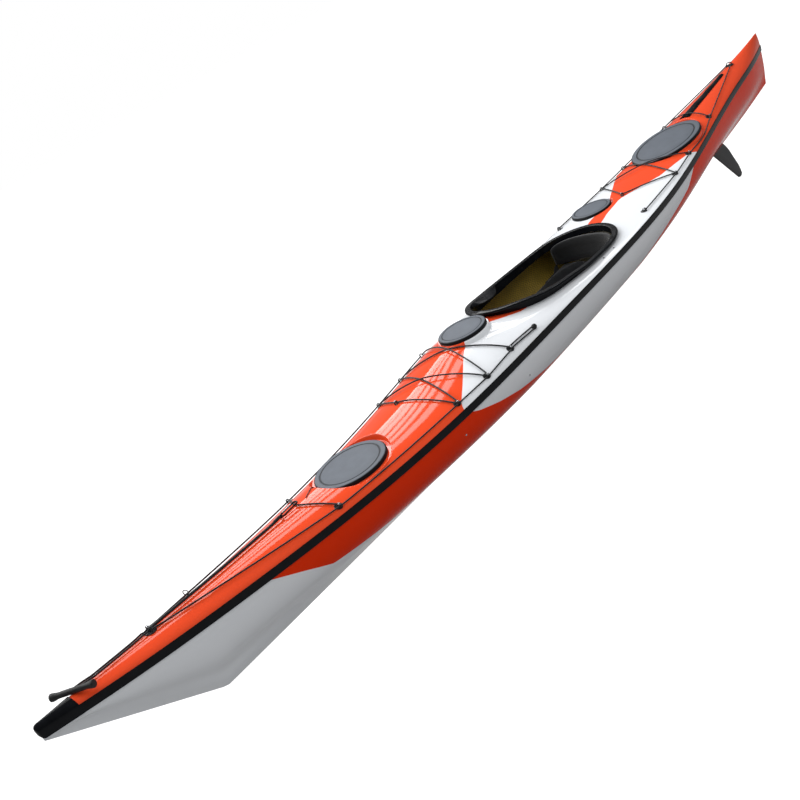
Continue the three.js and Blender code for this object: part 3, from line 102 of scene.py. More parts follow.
BOW_HOLLOW = 0.018
HOLLOW_SHARE = 0.88
HOLLOW_SPREAD = 0.055
HOLLOW_PLACE = 0.62
HOLLOW_HALF = 0.17
SECTION_HALVINGS = 36


def fair(places, values):
    """Natural cubic spline through the values, as a batten would lie."""
    x = np.array(places, float)
    y = np.array(values, float)
    span = np.diff(x)
    count = len(x)
    matrix = np.eye(count)
    right = np.zeros(count)
    for i in range(1, count - 1):
        matrix[i, i - 1 : i + 2] = span[i - 1], 2 * (span[i - 1] + span[i]), span[i]
        right[i] = 6 * ((y[i + 1] - y[i]) / span[i] - (y[i] - y[i - 1]) / span[i - 1])
    bend = np.linalg.solve(matrix, right)

    def curve(place):
        place = np.asarray(place, float)
        i = np.clip(np.searchsorted(x, place) - 1, 0, count - 2)
        a = (x[i + 1] - place) / span[i]
        b = 1 - a
        sag = ((a**3 - a) * bend[i] + (b**3 - b) * bend[i + 1]) * span[i] ** 2 / 6
        return a * y[i] + b * y[i + 1] + sag

    return curve


def bezier(t, a, b, c, d):
    return a * (1 - t) ** 3 + 3 * b * t * (1 - t) ** 2 + 3 * c * t**2 * (1 - t) + d * t**3


half_beam_share = fair(LINE_SHARES, HALF_BEAM_SHARES)
sheer_share = fair(LINE_SHARES, SHEER_SHARES)
ridge_share = fair(RIDGE_LINE_SHARES, RIDGE_SHARES)


def beam_at(share):
    return half_beam_share(share) * BEAM / 2


def sheer_at(share):
    return sheer_share(share) * BOW_HEIGHT


def ridge_at(share):
    return ridge_share(share) * BOW_HEIGHT


def along_at(share):
    return STERN_X + share * HULL_LENGTH


def share_of(x):
    return (x - STERN_X) / HULL_LENGTH


def keel_at(share):
    aft = np.clip((KEEL_SHARE_AFT - share) / KEEL_SHARE_AFT, 0, 1)
    fore = np.clip((share - KEEL_SHARE_FORE) / (FOREFOOT_SHARE - KEEL_SHARE_FORE), 0, 1)
    climb = np.clip((share - FOREFOOT_SHARE) / (1 - FOREFOOT_SHARE), 0, 1)
    rise = STERN_FOOT_RISE * aft**ROCKER_SHARE + FOREFOOT_RISE * fore**ROCKER_SHARE
    return rise + (STEM_TOP_RISE - FOREFOOT_RISE) * climb


def hull_section(share, t, inset=0.0):
    """Port half of the hull from the joint, at t 0, to the keel, at t 1; heights above the keel.
    Towards the bow the side is a little hollow above the keel."""
    beam = beam_at(share) - inset
    top = sheer_at(share) - BAND_WIDTH / 2
    keel = keel_at(share) + inset
    flat = np.minimum(KEEL_FLAT / 2, beam * KEEL_FLAT / BEAM)
    bilge = np.minimum(keel + BILGE_ROUND, top)
    hollow = BOW_HOLLOW * np.exp(-(((share - HOLLOW_SHARE) / HOLLOW_SPREAD) ** 2))
    hollow = hollow * np.exp(-(((t - HOLLOW_PLACE) / HOLLOW_HALF) ** 2))
    y = bezier(t, beam, beam * HULL_SIDE_SHARES[0], beam * HULL_SIDE_SHARES[1], flat) - hollow
    z = bezier(t, top, top - HULL_DROP_SHARE * (top - keel), bilge, keel)
    return y, z


def deck_section(share, t, inset=0.0):
    """Port half of the deck from the sheer, at t 0, to the ridge, at t 1."""
    beam = beam_at(share) - inset
    sheer = sheer_at(share)
    rise = ridge_at(share) - inset - sheer
    y = bezier(t, beam, beam * DECK_SIDE_SHARES[0], beam * DECK_SIDE_SHARES[1], 0)
    z = bezier(t, sheer, sheer + DECK_RISE_SHARES[0] * rise, sheer + DECK_RISE_SHARES[1] * rise, sheer + rise)
    return y, z


def halved(low, high, is_before, times):
    """Halves the gap from low to high again and again, about the place where is_before ends."""
    for _ in range(times):
        middle = (low + high) / 2
        before = is_before(middle)
        low = np.where(before, middle, low)
        high = np.where(before, high, middle)
    return low, high


def deck_height(share, y):
    """Height of the fair deck above the keel, found along its section."""
    share, y = np.broadcast_arrays(np.asarray(share, float), np.asarray(y, float))
    reach = np.minimum(np.abs(y), beam_at(share))
    low, _ = halved(
        np.zeros_like(reach), np.ones_like(reach), lambda t: deck_section(share, t)[0] > reach,
        SECTION_HALVINGS,
    )
    return deck_section(share, low)[1]


def unit(vectors):
    """Vectors brought to a length of one."""
    return vectors / np.linalg.norm(vectors, axis=-1, keepdims=True)


def placed(share, y, z):
    """Point of a section in the boat's frame; sections near the stern lean aft with its post."""
    rake = STERN_RAKE_SHARE * np.maximum(0, 1 - share / STERN_RAKE_END_SHARE)
    x = along_at(share) + rake * (ridge_at(share) - z)
    return np.stack(np.broadcast_arrays(x, y, z + KEEL_Z), axis=-1)


# Hull moulding: the lower half, laid up in a female mould against gelcoat, a pigmented polyester
# skin. Its colours are sprayed first, white at the bow and under the cockpit and red elsewhere.
# It shows a wet, mirror-like face with a faint orange peel; the inside is bare aramid laminate.
HULL_STATIONS = 240
HULL_COLUMNS = 30
STEM_ROUND = 0.009
STEM_STEPS = 5
STEM_TURN = 1.35
STEM_CLIMB = (STEM_TOP_RISE - FOREFOOT_RISE) / ((1 - FOREFOOT_SHARE) * HULL_LENGTH)
ORANGE_PEEL_MM = 2.5
MOULD_WAVE_MM = 90
MASK_EDGE = 0.0008
CLOTH_SQUARE_MM = 7
RESIN_PATCH_MM = 60
# Places of the sockets of a node that mixes colours
LOW_COLOUR = 6
HIGH_COLOUR = 7
MIXED_COLOUR = 2
EDGE_ANGLE = 35
FAR = 1e9
TINY = 1e-12
WHITE_BOW_PANEL = [
    (1.8, 0.5), (1.8, 0.288), (1.68, 0.222), (1.575, 0.16), (1.43, 0.131), (1.3, 0.105),
    (1.12, 0.03), (1.05, -0.3), (3, -0.3), (3, 0.6),
]
WHITE_SIDE_PANEL = [
    (0.9, 0.4), (0.86, 0.24), (0.815, 0.2165), (0.71, 0.18), (0.585, 0.147), (0.516, 0.1355),
    (0.404, 0.119), (0.18, 0.096), (-0.15, 0.092), (-0.45, 0.113), (-0.83, 0.165), (-0.98, 0.185),
    (-1.105, 0.243), (-1.25, 0.4),
]


def linear(code):
    """sRGB hex to the linear colour that a shader takes."""
    values = [int(code[i : i + 2], 16) / 255 for i in (1, 3, 5)]
    return (*(v / 12.92 if v <= 0.04045 else ((v + 0.055) / 1.055) ** 2.4 for v in values), 1)


def add_node(tree, kind, inputs=None, settings=None, **values):
    """Adds a shader node: settings are its properties and values set its inputs by name. The other
    inputs are linked to a socket or to a node's first output, or set to a value."""
    node = tree.nodes.new(kind)
    for name, value in (settings or {}).items():
        setattr(node, name, value)
    for name, value in values.items():
        node.inputs[name.replace("_", " ")].default_value = value
    for name, value in (inputs or {}).items():
        source = value.outputs[0] if isinstance(value, bpy.types.Node) else value
        if isinstance(source, bpy.types.NodeSocket):
            tree.links.new(source, node.inputs[name])
        else:
            node.inputs[name].default_value = source
    return node


def new_finish(name):
    """An empty material; returns it, its tree and its object coordinates."""
    material = bpy.data.materials.new(name)
    material.use_nodes = True
    material.node_tree.nodes.clear()
    where = add_node(material.node_tree, "ShaderNodeTexCoord").outputs["Object"]
    return material, material.node_tree, where


def surface(tree, tone, colours, wear, roughness, relief, depth_mm, strength, under=None, **values):
    """Joins a material up: two colours mixed by its tone, a roughness that drifts with its wear,
    and its relief, which may lie over another one."""
    mix = {"Factor": tone, LOW_COLOUR: colours[0], HIGH_COLOUR: colours[1]}
    colour = add_node(tree, "ShaderNodeMix", mix, {"data_type": "RGBA"}).outputs[MIXED_COLOUR]
    rough = add_node(tree, "ShaderNodeMapRange", {"Value": wear}, To_Min=roughness[0], To_Max=roughness[1])
    faces = {"Height": relief} if under is None else {"Height": relief, "Normal": under}
    bump = add_node(tree, "ShaderNodeBump", faces, Strength=strength, Distance=depth_mm / 1000)
    inputs = {"Base Color": colour, "Roughness": rough, "Normal": bump}
    shader = add_node(tree, "ShaderNodeBsdfPrincipled", inputs, **values)
    add_node(tree, "ShaderNodeOutputMaterial", {"Surface": shader})


def gelcoat(name, main_code, panel_code, gloss):
    """Two sprayed colours that meet where the masked line was, under one polished face."""
    material, tree, where = new_finish(name)
    masked = add_node(tree, "ShaderNodeAttribute", settings={"attribute_name": "panel"}).outputs["Fac"]
    edge = add_node(tree, "ShaderNodeMapRange", {"Value": masked}, From_Min=-MASK_EDGE, From_Max=MASK_EDGE)
    sag = add_node(tree, "ShaderNodeTexNoise", {"Vector": where}, Scale=1000 / MOULD_WAVE_MM, Detail=1.0)
    wave = add_node(tree, "ShaderNodeBump", {"Height": sag}, Strength=0.35, Distance=0.0009)
    peel = add_node(tree, "ShaderNodeTexNoise", {"Vector": where}, Scale=1000 / ORANGE_PEEL_MM)
    drift = add_node(tree, "ShaderNodeTexNoise", {"Vector": where}, Scale=1000 / MOULD_WAVE_MM)
    surface(
        tree, edge, (linear(main_code), linear(panel_code)), drift, (0.04, 0.09), peel,
        depth_mm=0.02, strength=0.25, under=wave, IOR=1.52, Specular_IOR_Level=gloss,
    )
    return material


def laminate(name, dark_code, pale_code):
    """Cloth wetted out with resin: matt, with the cloth's squares showing through."""
    material, tree, where = new_finish(name)
    cloth = add_node(
        tree, "ShaderNodeTexChecker", {"Vector": where}, Scale=1000 / CLOTH_SQUARE_MM,
    ).outputs["Fac"]
    patchy = add_node(tree, "ShaderNodeTexNoise", {"Vector": where}, Scale=1000 / RESIN_PATCH_MM, Detail=3.0)
    tone = add_node(tree, "ShaderNodeMath", {0: cloth, 1: patchy}, {"operation": "MULTIPLY"})
    surface(
        tree, tone, (linear(dark_code), linear(pale_code)), patchy, (0.4, 0.65), cloth,
        depth_mm=0.25, strength=0.5, IOR=1.54,
    )
    return material


hull_gelcoat = gelcoat("red_and_white_gelcoat", "#ea3408", "#e8ebef", gloss=0.05)
aramid_laminate = laminate("yellow_aramid_laminate", "#75611c", "#b89a3a")


def new_piece(name, points, faces, material, nodes=(), slot=None, body="boat", sharp=EDGE_ANGLE):
    """A mesh piece that rides on its body and stands for the solids it replaces."""
    mesh = bpy.data.meshes.new(name)
    mesh.from_pydata([tuple(map(float, p)) for p in points], [], [tuple(map(int, f)) for f in faces])
    mesh.update()
    for one in material if isinstance(material, list) else [material]:
        mesh.materials.append(one)
    mesh.shade_smooth()
    if sharp:
        mesh.set_sharp_from_angle(angle=math.radians(sharp))
    piece = bpy.data.objects.new(name, mesh)
    bpy.context.scene.collection.objects.link(piece)
    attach(piece, body)
    if nodes:
        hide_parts(*nodes)
    return piece


def faces_out(piece):
    """Turns every face of a closed mesh outwards."""
    shape = bmesh.new()
    shape.from_mesh(piece.data)
    bmesh.ops.recalc_face_normals(shape, faces=shape.faces)
    shape.to_mesh(piece.data)
    shape.free()


def apply_modifiers(piece):
    """Works the piece's modifiers into its mesh."""
    bpy.context.view_layer.update()
    mesh = bpy.data.meshes.new_from_object(piece.evaluated_get(bpy.context.evaluated_depsgraph_get()))
    piece.modifiers.clear()
    piece.data = mesh
    mesh.set_sharp_from_angle(angle=math.radians(EDGE_ANGLE))


def inside_panel(outline, u, v):
    """Distance inside a masked panel's outline, negative outside it."""
    path = np.array(outline + outline[:1], float)
    nearest = np.full(np.shape(u), FAR)
    inside = np.zeros(np.shape(u), bool)
    for (au, av), (bu, bv) in zip(path[:-1], path[1:]):
        du, dv = bu - au, bv - av
        t = np.clip(((u - au) * du + (v - av) * dv) / (du**2 + dv**2), 0, 1)
        nearest = np.minimum(nearest, np.hypot(u - au - t * du, v - av - t * dv))
        crosses = (av > v) != (bv > v)
        at = au + (v - av) * du / (dv if dv else TINY)
        inside ^= crosses & (u < at)
    return np.where(inside, nearest, -nearest)


def store(piece, name, values):
    """Keeps a value for each point of a piece, which its material reads."""
    attribute = piece.data.attributes.new(name, "FLOAT", "POINT")
    attribute.data.foreach_set("value", np.asarray(values, np.float32).ravel())


def grid_faces(rows, columns, wrap=False):
    """Quads over rows of points; wrapped rows close on their first point."""
    faces = []
    for i in range(rows - 1):
        for j in range(columns if wrap else columns - 1):
            k = (j + 1) % columns
            faces.append((i * columns + j, i * columns + k, (i + 1) * columns + k, (i + 1) * columns + j))
    return faces


def tube_faces(rows, columns, start=0):
    """Quads round closed sections of points, capped at both ends; start is their first point."""
    last = (rows - 1) * columns
    faces = grid_faces(rows, columns, wrap=True)
    faces += [tuple(range(columns))[::-1], tuple(range(last, last + columns))]
    return [tuple(i + start for i in face) for face in faces]


stations, columns = np.meshgrid(
    np.linspace(0, 1, HULL_STATIONS + 1), np.linspace(0, 1, HULL_COLUMNS + 1), indexing="ij",
)
side_y, side_z = hull_section(stations, columns)
hull_rows = np.concatenate(
    [placed(stations, side_y, side_z), placed(stations, -side_y, side_z)[:, ::-1]], axis=1,
)
for turn in np.linspace(0, STEM_TURN, STEM_STEPS + 1)[1:]:
    ahead = STEM_ROUND * math.sin(turn)
    stem_row = hull_rows[HULL_STATIONS] * [1, math.cos(turn), 1] + [ahead, 0, 0]
    stem_low, stem_top = stem_row[:, 2].min(), stem_row[:, 2].max()
    stem_row[:, 2] += ahead * STEM_CLIMB * (stem_top - stem_row[:, 2]) / (stem_top - stem_low)
    hull_rows = np.concatenate([hull_rows, stem_row[None]])
row_length = hull_rows.shape[1]
hull_points = hull_rows.reshape(-1, 3)
hull_faces = grid_faces(len(hull_rows), row_length)
last_row = (len(hull_rows) - 1) * row_length
hull_faces += [tuple(range(row_length))[::-1], tuple(range(last_row, last_row + row_length))]
hull = new_piece(
    "hull_moulding", hull_points, hull_faces, [hull_gelcoat, aramid_laminate], ["hull_shell"], "hull",
)
faces_out(hull)
bow_panel = inside_panel(WHITE_BOW_PANEL, hull_points[:, 0], hull_points[:, 2] - KEEL_Z)
side_panel = inside_panel(WHITE_SIDE_PANEL, hull_points[:, 0], hull_points[:, 2] - KEEL_Z)
store(hull, "panel", np.maximum(bow_panel, side_panel))
wall = hull.modifiers.new("laminate_wall", "SOLIDIFY")
wall.thickness = SHELL_WALL
wall.offset = -1
wall.material_offset = 1
wall.material_offset_rim = 1
apply_modifiers(hull)

# Skeg slot: a narrow opening sawn through the laminate along the keel of the stern. The skeg case
# stands in it and is glassed in, so the slot is only a little wider than the case.
SLOT_CLEAR = 0.0003
SLOT_DROP = 0.1
BOX_FACES = [(0, 1, 3, 2), (4, 6, 7, 5), (0, 4, 5, 1), (2, 3, 7, 6), (0, 2, 6, 4), (1, 5, 7, 3)]
slot_low, slot_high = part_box("skeg_case")
slot_box = bpy.data.meshes.new("skeg_slot")
corners = [
    (x, y, z)
    for x in (slot_low.x - SLOT_CLEAR, slot_high.x + SLOT_CLEAR)
    for y in (slot_low.y - SLOT_CLEAR, slot_high.y + SLOT_CLEAR)
    for z in (slot_low.z - SLOT_DROP, slot_high.z - SLOT_DROP)
]
slot_box.from_pydata(corners, [], BOX_FACES)
slot_cutter = bpy.data.objects.new("skeg_slot", slot_box)
bpy.context.scene.collection.objects.link(slot_cutter)
slot_cut = hull.modifiers.new("skeg_slot", "BOOLEAN")
slot_cut.object = slot_cutter
slot_cut.solver = "EXACT"
apply_modifiers(hull)
bpy.data.objects.remove(slot_cutter)


# Deck moulding: the upper half, made as the hull is. It carries a flat seat for each hatch, sunk
# or raised with a small round where it meets the deck, and the keyhole opening of the cockpit.
# It is orange, with white panels from the foredeck back past the cockpit on both sides.
DECK_STATIONS = 200
DECK_COLUMNS = 14
HATCH_POINTS = 96
SEAL_WIDTH = 0.012
STERN_END_WALL = 0.0004
HATCH_HOLE = 0.009
HATCH_GROWTHS = (-0.0055, -0.002, -0.001, 0, 0.001, 0.002, 0.003, 0.004, 0.0055, 0.009)
HATCH_HALVINGS = 44
HATCH_INMOST_SHARE = 0.999
HATCH_FARTHEST = 6.0
SEAT_ROUND = 0.005
SEAT_LAP = 0.001
COCKPIT_CLEAR = 0.0022
COCKPIT_GRID_CLEAR = 0.006
HATCH_GRID_CLEAR = 0.014
MERGE_WITHIN = 1e-6
NORMAL_STEP = 0.0004
STEEP_SHARE = 0.98
HATCHES = {
    "bow": {"at": (1.2538, 0, 0.29616), "half": (0.1405, 0.1405), "margin": 0.014, "tilt": 0},
    "knee": {"at": (0.49825, 0, 0.36497), "half": (0.101, 0.101), "margin": 0.006, "tilt": 0},
    "day": {"at": (-0.69677, -0.11802, 0.27775), "half": (0.097, 0.097), "margin": 0.006, "tilt": 0},
    "stern": {"at": (-1.2935, 0, 0.31074), "half": (0.214, 0.166), "margin": 0.004, "tilt": 0.06},
}
COAMING_FRONT_SHARE = 0.5765
COAMING_LENGTH = 0.892
COAMING_WIDTH = 0.464
LIP_WIDTH = 0.022
COAMING_FULL_PLACES = [0, 0.13, 0.38, 0.54, 0.7, 0.86, 1]
COAMING_FULL_SHARES = [1.03, 1.06, 0.985, 1.012, 1.083, 1.237, 1.34]
COCKPIT_POINTS = 144
COCKPIT_HEADING_PARTS = 36
# The masked panels seen from above, port and starboard, past the sheer on the outside
WHITE_STARBOARD_FORE_EDGE = [
    (0.93, -0.3), (0.8, -0.256), (0.62, -0.228), (0.5, -0.18), (0.44, -0.11), (0.41, -0.055),
    (0.36, -0.098), (0.3, -0.138), (0.2, -0.15),
]
WHITE_PORT_FORE_EDGE = [
    (0.93, 0.3), (0.867, 0.218), (0.776, 0.171), (0.632, 0.089), (0.521, 0.0435), (0.422, 0.052),
    (0.36, 0.098), (0.3, 0.138), (0.2, 0.15),
]
WHITE_PORT_EDGE = [
    (-0.5, 0.034), (-0.54, 0.03), (-0.615, 0.015), (-0.75, 0.01), (-0.84, 0.07), (-0.94, 0.13),
    (-1.16, 0.18), (-1.3, 0.3),
]
WHITE_STARBOARD_EDGE = [
    (-0.45, -0.034), (-0.51, -0.04), (-0.57, -0.055), (-0.71, -0.05), (-0.79, -0.065), (-1.08, -0.185),
    (-1.2, -0.3),
]

coaming_fullness = fair(COAMING_FULL_PLACES, COAMING_FULL_SHARES)


def cockpit_plan(inset, count=COCKPIT_POINTS):
    """Cockpit outline seen from above, moved in by the inset; also its share of the way aft."""

    def rim(turn):
        back = (1 - np.cos(turn)) / 2
        side = np.sin(turn) * coaming_fullness(back) * COAMING_WIDTH / 2
        return np.stack([along_at(COAMING_FRONT_SHARE) - back * COAMING_LENGTH, side], axis=-1), back

    turns = np.arange(count) * 2 * math.pi / count
    step = 2 * math.pi / COCKPIT_HEADING_PARTS
    spots, back = rim(turns)
    edge = unit(rim(turns + step)[0] - rim(turns - step)[0])
    return spots + inset * np.stack([-edge[:, 1], edge[:, 0]], axis=-1), back


def hatch_reach(hatch, x, y):
    """How far a place lies outside a hatch's oval; inside it is negative."""
    u = np.abs(x - hatch["at"][0]) / math.cos(hatch["tilt"])
    v = np.abs(y - hatch["at"][1])
    a, b = hatch["half"]
    low = np.full(np.shape(u), -b * HATCH_INMOST_SHARE)
    high = np.full(np.shape(u), HATCH_FARTHEST)
    return halved(
        low, high, lambda grow: (u / (a + grow)) ** 2 + (v / (b + grow)) ** 2 > 1, HATCH_HALVINGS,
    )[0]


def seat_height(hatch, x):
    """Height of a hatch's flat seat, which may slope along the boat."""
    return hatch["at"][2] - (x - hatch["at"][0]) * math.tan(hatch["tilt"])


def moulded_height(x, y):
    """Height of the moulded deck, its hatch seats blended in."""
    height = deck_height(share_of(x), y)
    for hatch in HATCHES.values():
        reach = hatch_reach(hatch, x, y)
        t = np.clip((reach - hatch["margin"] + SEAT_LAP) / SEAT_ROUND, 0, 1)
        blend = t * t * (3 - 2 * t)
        height = seat_height(hatch, x) * (1 - blend) + height * blend
    return height


def hatch_ring(hatch, grow, count=HATCH_POINTS):
    """Ring of points a little outside a hatch's oval, or inside it."""
    turns = np.arange(count) * 2 * math.pi / count
    a, b = hatch["half"]
    x = hatch["at"][0] + (a + grow) * np.cos(turns) * math.cos(hatch["tilt"])
    return np.stack([x, hatch["at"][1] + (b + grow) * np.sin(turns)], axis=-1)


spots = []
edges = []


def add_ring(ring):
    """Adds a closed line to the plan of the deck, which its triangles then follow."""
    start = len(spots)
    spots.extend(map(tuple, ring))
    edges.extend((start + i, start + (i + 1) % len(ring)) for i in range(len(ring)))


outline_shares = np.linspace(0, 1, DECK_STATIONS + 1)
port_edge = np.stack([along_at(outline_shares), beam_at(outline_shares)], axis=-1)
starboard_edge = np.stack([along_at(outline_shares), -beam_at(outline_shares)], axis=-1)[::-1]
deck_outline = np.concatenate([port_edge, starboard_edge])
add_ring(deck_outline)
cockpit_hole = cockpit_plan(LIP_WIDTH + COCKPIT_CLEAR)[0]
add_ring(cockpit_hole)
for hatch in HATCHES.values():
    add_ring(hatch_ring(hatch, -HATCH_HOLE))
    for growth in HATCH_GROWTHS:
        add_ring(hatch_ring(hatch, hatch["margin"] + growth))
grid_share, grid_t = np.meshgrid(outline_shares, np.linspace(0, 1, DECK_COLUMNS + 1)[1:], indexing="ij")
grid_y = deck_section(grid_share, grid_t)[0]
grid_x = along_at(grid_share)
both_sides = np.concatenate([
    np.stack([grid_x.ravel(), grid_y.ravel()], axis=-1),
    np.stack([grid_x[:, :-1].ravel(), -grid_y[:, :-1].ravel()], axis=-1),
])
cockpit_line = [tuple(p) for p in cockpit_hole]
keep = inside_panel(cockpit_line, both_sides[:, 0], both_sides[:, 1]) < -COCKPIT_GRID_CLEAR
for hatch in HATCHES.values():
    keep &= hatch_reach(hatch, both_sides[:, 0], both_sides[:, 1]) > hatch["margin"] + HATCH_GRID_CLEAR
spots.extend(map(tuple, both_sides[keep]))
plan_spots = [Vector(p) for p in spots]
flat_points, _, flat_faces, *_ = delaunay_2d_cdt(plan_spots, edges, [], 0, MERGE_WITHIN)
flat = np.array([tuple(p) for p in flat_points])
triangles = np.array(flat_faces)
middle = flat[triangles].mean(axis=1)
wanted = inside_panel([tuple(p) for p in deck_outline], middle[:, 0], middle[:, 1]) > 0
wanted &= inside_panel(cockpit_line, middle[:, 0], middle[:, 1]) < 0
for hatch in HATCHES.values():
    wanted &= hatch_reach(hatch, middle[:, 0], middle[:, 1]) > -HATCH_HOLE
triangles = triangles[wanted]
used, triangles = np.unique(triangles, return_inverse=True)
triangles = triangles.reshape(-1, 3)
flat = flat[used]


def deck_place(x, y):
    """Points of the moulded deck over places of its plan."""
    share = share_of(x)
    limit = beam_at(share)
    y = np.clip(y, -limit, limit)
    return placed(share, y, moulded_height(x, y))


def deck_normals(x, y):
    """Outward normals of the moulded deck; at the sheer, where it is steep, outward is outboard."""
    along = deck_place(x + NORMAL_STEP, y) - deck_place(x - NORMAL_STEP, y)
    side = np.where(y < 0, -1.0, 1.0)
    is_middle = np.abs(y) < NORMAL_STEP
    out = np.where(is_middle, y + NORMAL_STEP, y)
    back = np.where(is_middle, y - NORMAL_STEP, y - side * NORMAL_STEP)
    across = (deck_place(x, out) - deck_place(x, back)) * side[:, None]
    normal = np.cross(along, across)
    at_sheer = np.abs(y) > STEEP_SHARE * beam_at(share_of(x))
    normal *= np.sign(np.where(at_sheer, normal[:, 1] * side, normal[:, 2]))[:, None]
    return unit(normal)


deck_face = deck_place(flat[:, 0], flat[:, 1])
deck_up = deck_normals(flat[:, 0], flat[:, 1])
corner, second, third = (deck_face[triangles[:, i]] for i in range(3))
faces_down = np.cross(second - corner, third - corner)[:, 2] < 0
triangles[faces_down] = triangles[faces_down][:, ::-1]
deck_under = deck_face - deck_up * SHELL_WALL
stern_post_x = STERN_X + STERN_RAKE_SHARE * (ridge_at(0) + KEEL_Z - deck_under[:, 2])
deck_under[:, 0] = np.maximum(deck_under[:, 0], stern_post_x)
count = len(deck_face)
sides = np.concatenate([triangles[:, [0, 1]], triangles[:, [1, 2]], triangles[:, [2, 0]]])
_, first, times = np.unique(np.sort(sides, axis=1), axis=0, return_index=True, return_counts=True)
rim_edges = sides[first[times == 1]]
deck_faces = [tuple(f) for f in triangles]
deck_faces += [(c + count, b + count, a + count) for a, b, c in triangles]
deck_faces += [(b, a, a + count, b + count) for a, b in rim_edges]
# The stern end is a face of gelcoat that closes the moulding along the sloping post.
end_y, end_z = deck_section(0, np.linspace(0, 1, DECK_COLUMNS + 1))
end_ring = placed(0, np.concatenate([end_y, -end_y[-2::-1]]), np.concatenate([end_z, end_z[-2::-1]]))
end_size = len(end_ring)
end_points = np.concatenate([end_ring - [STERN_END_WALL, 0, 0], end_ring])
end_up = np.tile([1, 0, STERN_RAKE_SHARE] / np.hypot(1, STERN_RAKE_SHARE), (2 * end_size, 1))
end_up[:end_size] *= -1
end_faces = tube_faces(2, end_size, 2 * count)
deck_gelcoat = gelcoat("orange_and_white_gelcoat", "#ea4c26", "#e5e8ec", gloss=0.4)
inside_laminate = laminate("grey_glass_laminate", "#24262a", "#3a3d42")
deck = new_piece(
    "deck_moulding", np.concatenate([deck_face, deck_under, end_points]), deck_faces + end_faces,
    [deck_gelcoat, inside_laminate], ["deck_shell"], "deck", sharp=None,
)
deck.data.polygons.foreach_set(
    "material_index",
    [0] * len(triangles) + [1] * (len(deck_faces) - len(triangles)) + [0] * len(end_faces),
)
deck.data.normals_split_custom_set_from_vertices(
    [tuple(n) for n in np.concatenate([deck_up, -deck_up, end_up])],
)
port_panel = WHITE_PORT_FORE_EDGE + WHITE_PORT_EDGE
starboard_panel = WHITE_STARBOARD_FORE_EDGE + WHITE_STARBOARD_EDGE
panel = np.maximum(
    inside_panel(port_panel, flat[:, 0], flat[:, 1]),
    inside_panel(starboard_panel, flat[:, 0], flat[:, 1]),
)
store(deck, "panel", np.concatenate([panel, panel, np.full(2 * end_size, -1.0)]))


# Seam band: black gelcoat over glass tape, which covers the joint of the two mouldings from the
# bow cap round the stern and back. It stands 2 mm proud, and its polished face has soft edges.
BAND_GAP = 0.0003
BAND_PROUD = 0.0022
BAND_ROUND = 0.0009
BAND_STATIONS = 180
CAP_SHARE = 0.979
DUST_MM = 35
DUST_SPREAD = (-0.6, 1.4)
FINE_GRAIN_MM = 1.2
CORNER_SHARE = 0.45


def moulded_face(name, codes, roughness, grain_mm, depth_mm, **values):
    """A dark moulded finish: its tone and gloss drift with handling dust, over a fine grain."""
    material, tree, where = new_finish(name)
    dust = add_node(tree, "ShaderNodeTexNoise", {"Vector": where}, Scale=1000 / DUST_MM, Detail=4.0)
    grain = add_node(tree, "ShaderNodeTexNoise", {"Vector": where}, Scale=1000 / grain_mm)
    low, high = DUST_SPREAD
    tone = add_node(tree, "ShaderNodeMapRange", {"Value": dust}, To_Min=low, To_Max=high)
    colours = [linear(code) for code in codes]
    surface(tree, tone, colours, dust, roughness, grain, depth_mm, strength=0.4, **values)
    return material


def rounded(sections, radius, steps=2):
    """Rounds each corner of closed sections, given as rows of points."""
    sections = np.asarray(sections, float)

    def towards(neighbour):
        side = neighbour - sections
        length = np.linalg.norm(side, axis=2, keepdims=True)
        return sections + side * np.minimum(CORNER_SHARE, radius / np.maximum(length, TINY))

    start = towards(np.roll(sections, 1, axis=1))
    end = towards(np.roll(sections, -1, axis=1))
    rows = [
        (1 - t) ** 2 * start + 2 * t * (1 - t) * sections + t**2 * end for t in np.linspace(0, 1, steps + 2)
    ]
    return np.stack(rows, axis=2).reshape(len(sections), -1, 3)


def swept(name, sections, material, closed=False, **where):
    """Skin over closed sections; an open run is capped at both ends."""
    rows, columns = sections.shape[:2]
    faces = tube_faces(rows, columns)
    if closed:
        last = (rows - 1) * columns
        faces = faces[:-2]
        faces += [(last + j, last + (j + 1) % columns, (j + 1) % columns, j) for j in range(columns)]
    piece = new_piece(name, sections.reshape(-1, 3), faces, material, **where)
    faces_out(piece)
    return piece


black_gelcoat = moulded_face(
    "black_gelcoat", ("#0a0b0e", "#14161a"), roughness=(0.12, 0.26), grain_mm=MOULD_WAVE_MM, depth_mm=0.3,
    IOR=1.52, Specular_IOR_Level=0.12,
)


def band_section(share, sign, back=0.0):
    """The band's four corners on one side; at the stern its outer face stands back as well."""
    inner = sign * (beam_at(share) + BAND_GAP)
    outer = inner + sign * BAND_PROUD
    top = sheer_at(share)
    low = top - BAND_WIDTH
    places = ((inner, top), (outer, top), (outer, low), (inner, low))
    corners = np.array([placed(share, y, z) for y, z in places])
    corners[:, 0] -= back
    corners[1:3, 0] -= BAND_PROUD if back else 0
    return corners


band_shares = np.linspace(CAP_SHARE - BAND_GAP / HULL_LENGTH, 0, BAND_STATIONS)
band_sections = [band_section(share, 1) for share in band_shares]
band_sections += [band_section(0, 1, BAND_GAP), band_section(0, -1, BAND_GAP)]
band_sections += [band_section(share, -1) for share in band_shares[::-1]]
swept(
    "seam_strip", rounded(band_sections, BAND_ROUND), black_gelcoat, nodes=["seam_band"], slot="black_gloss",
)

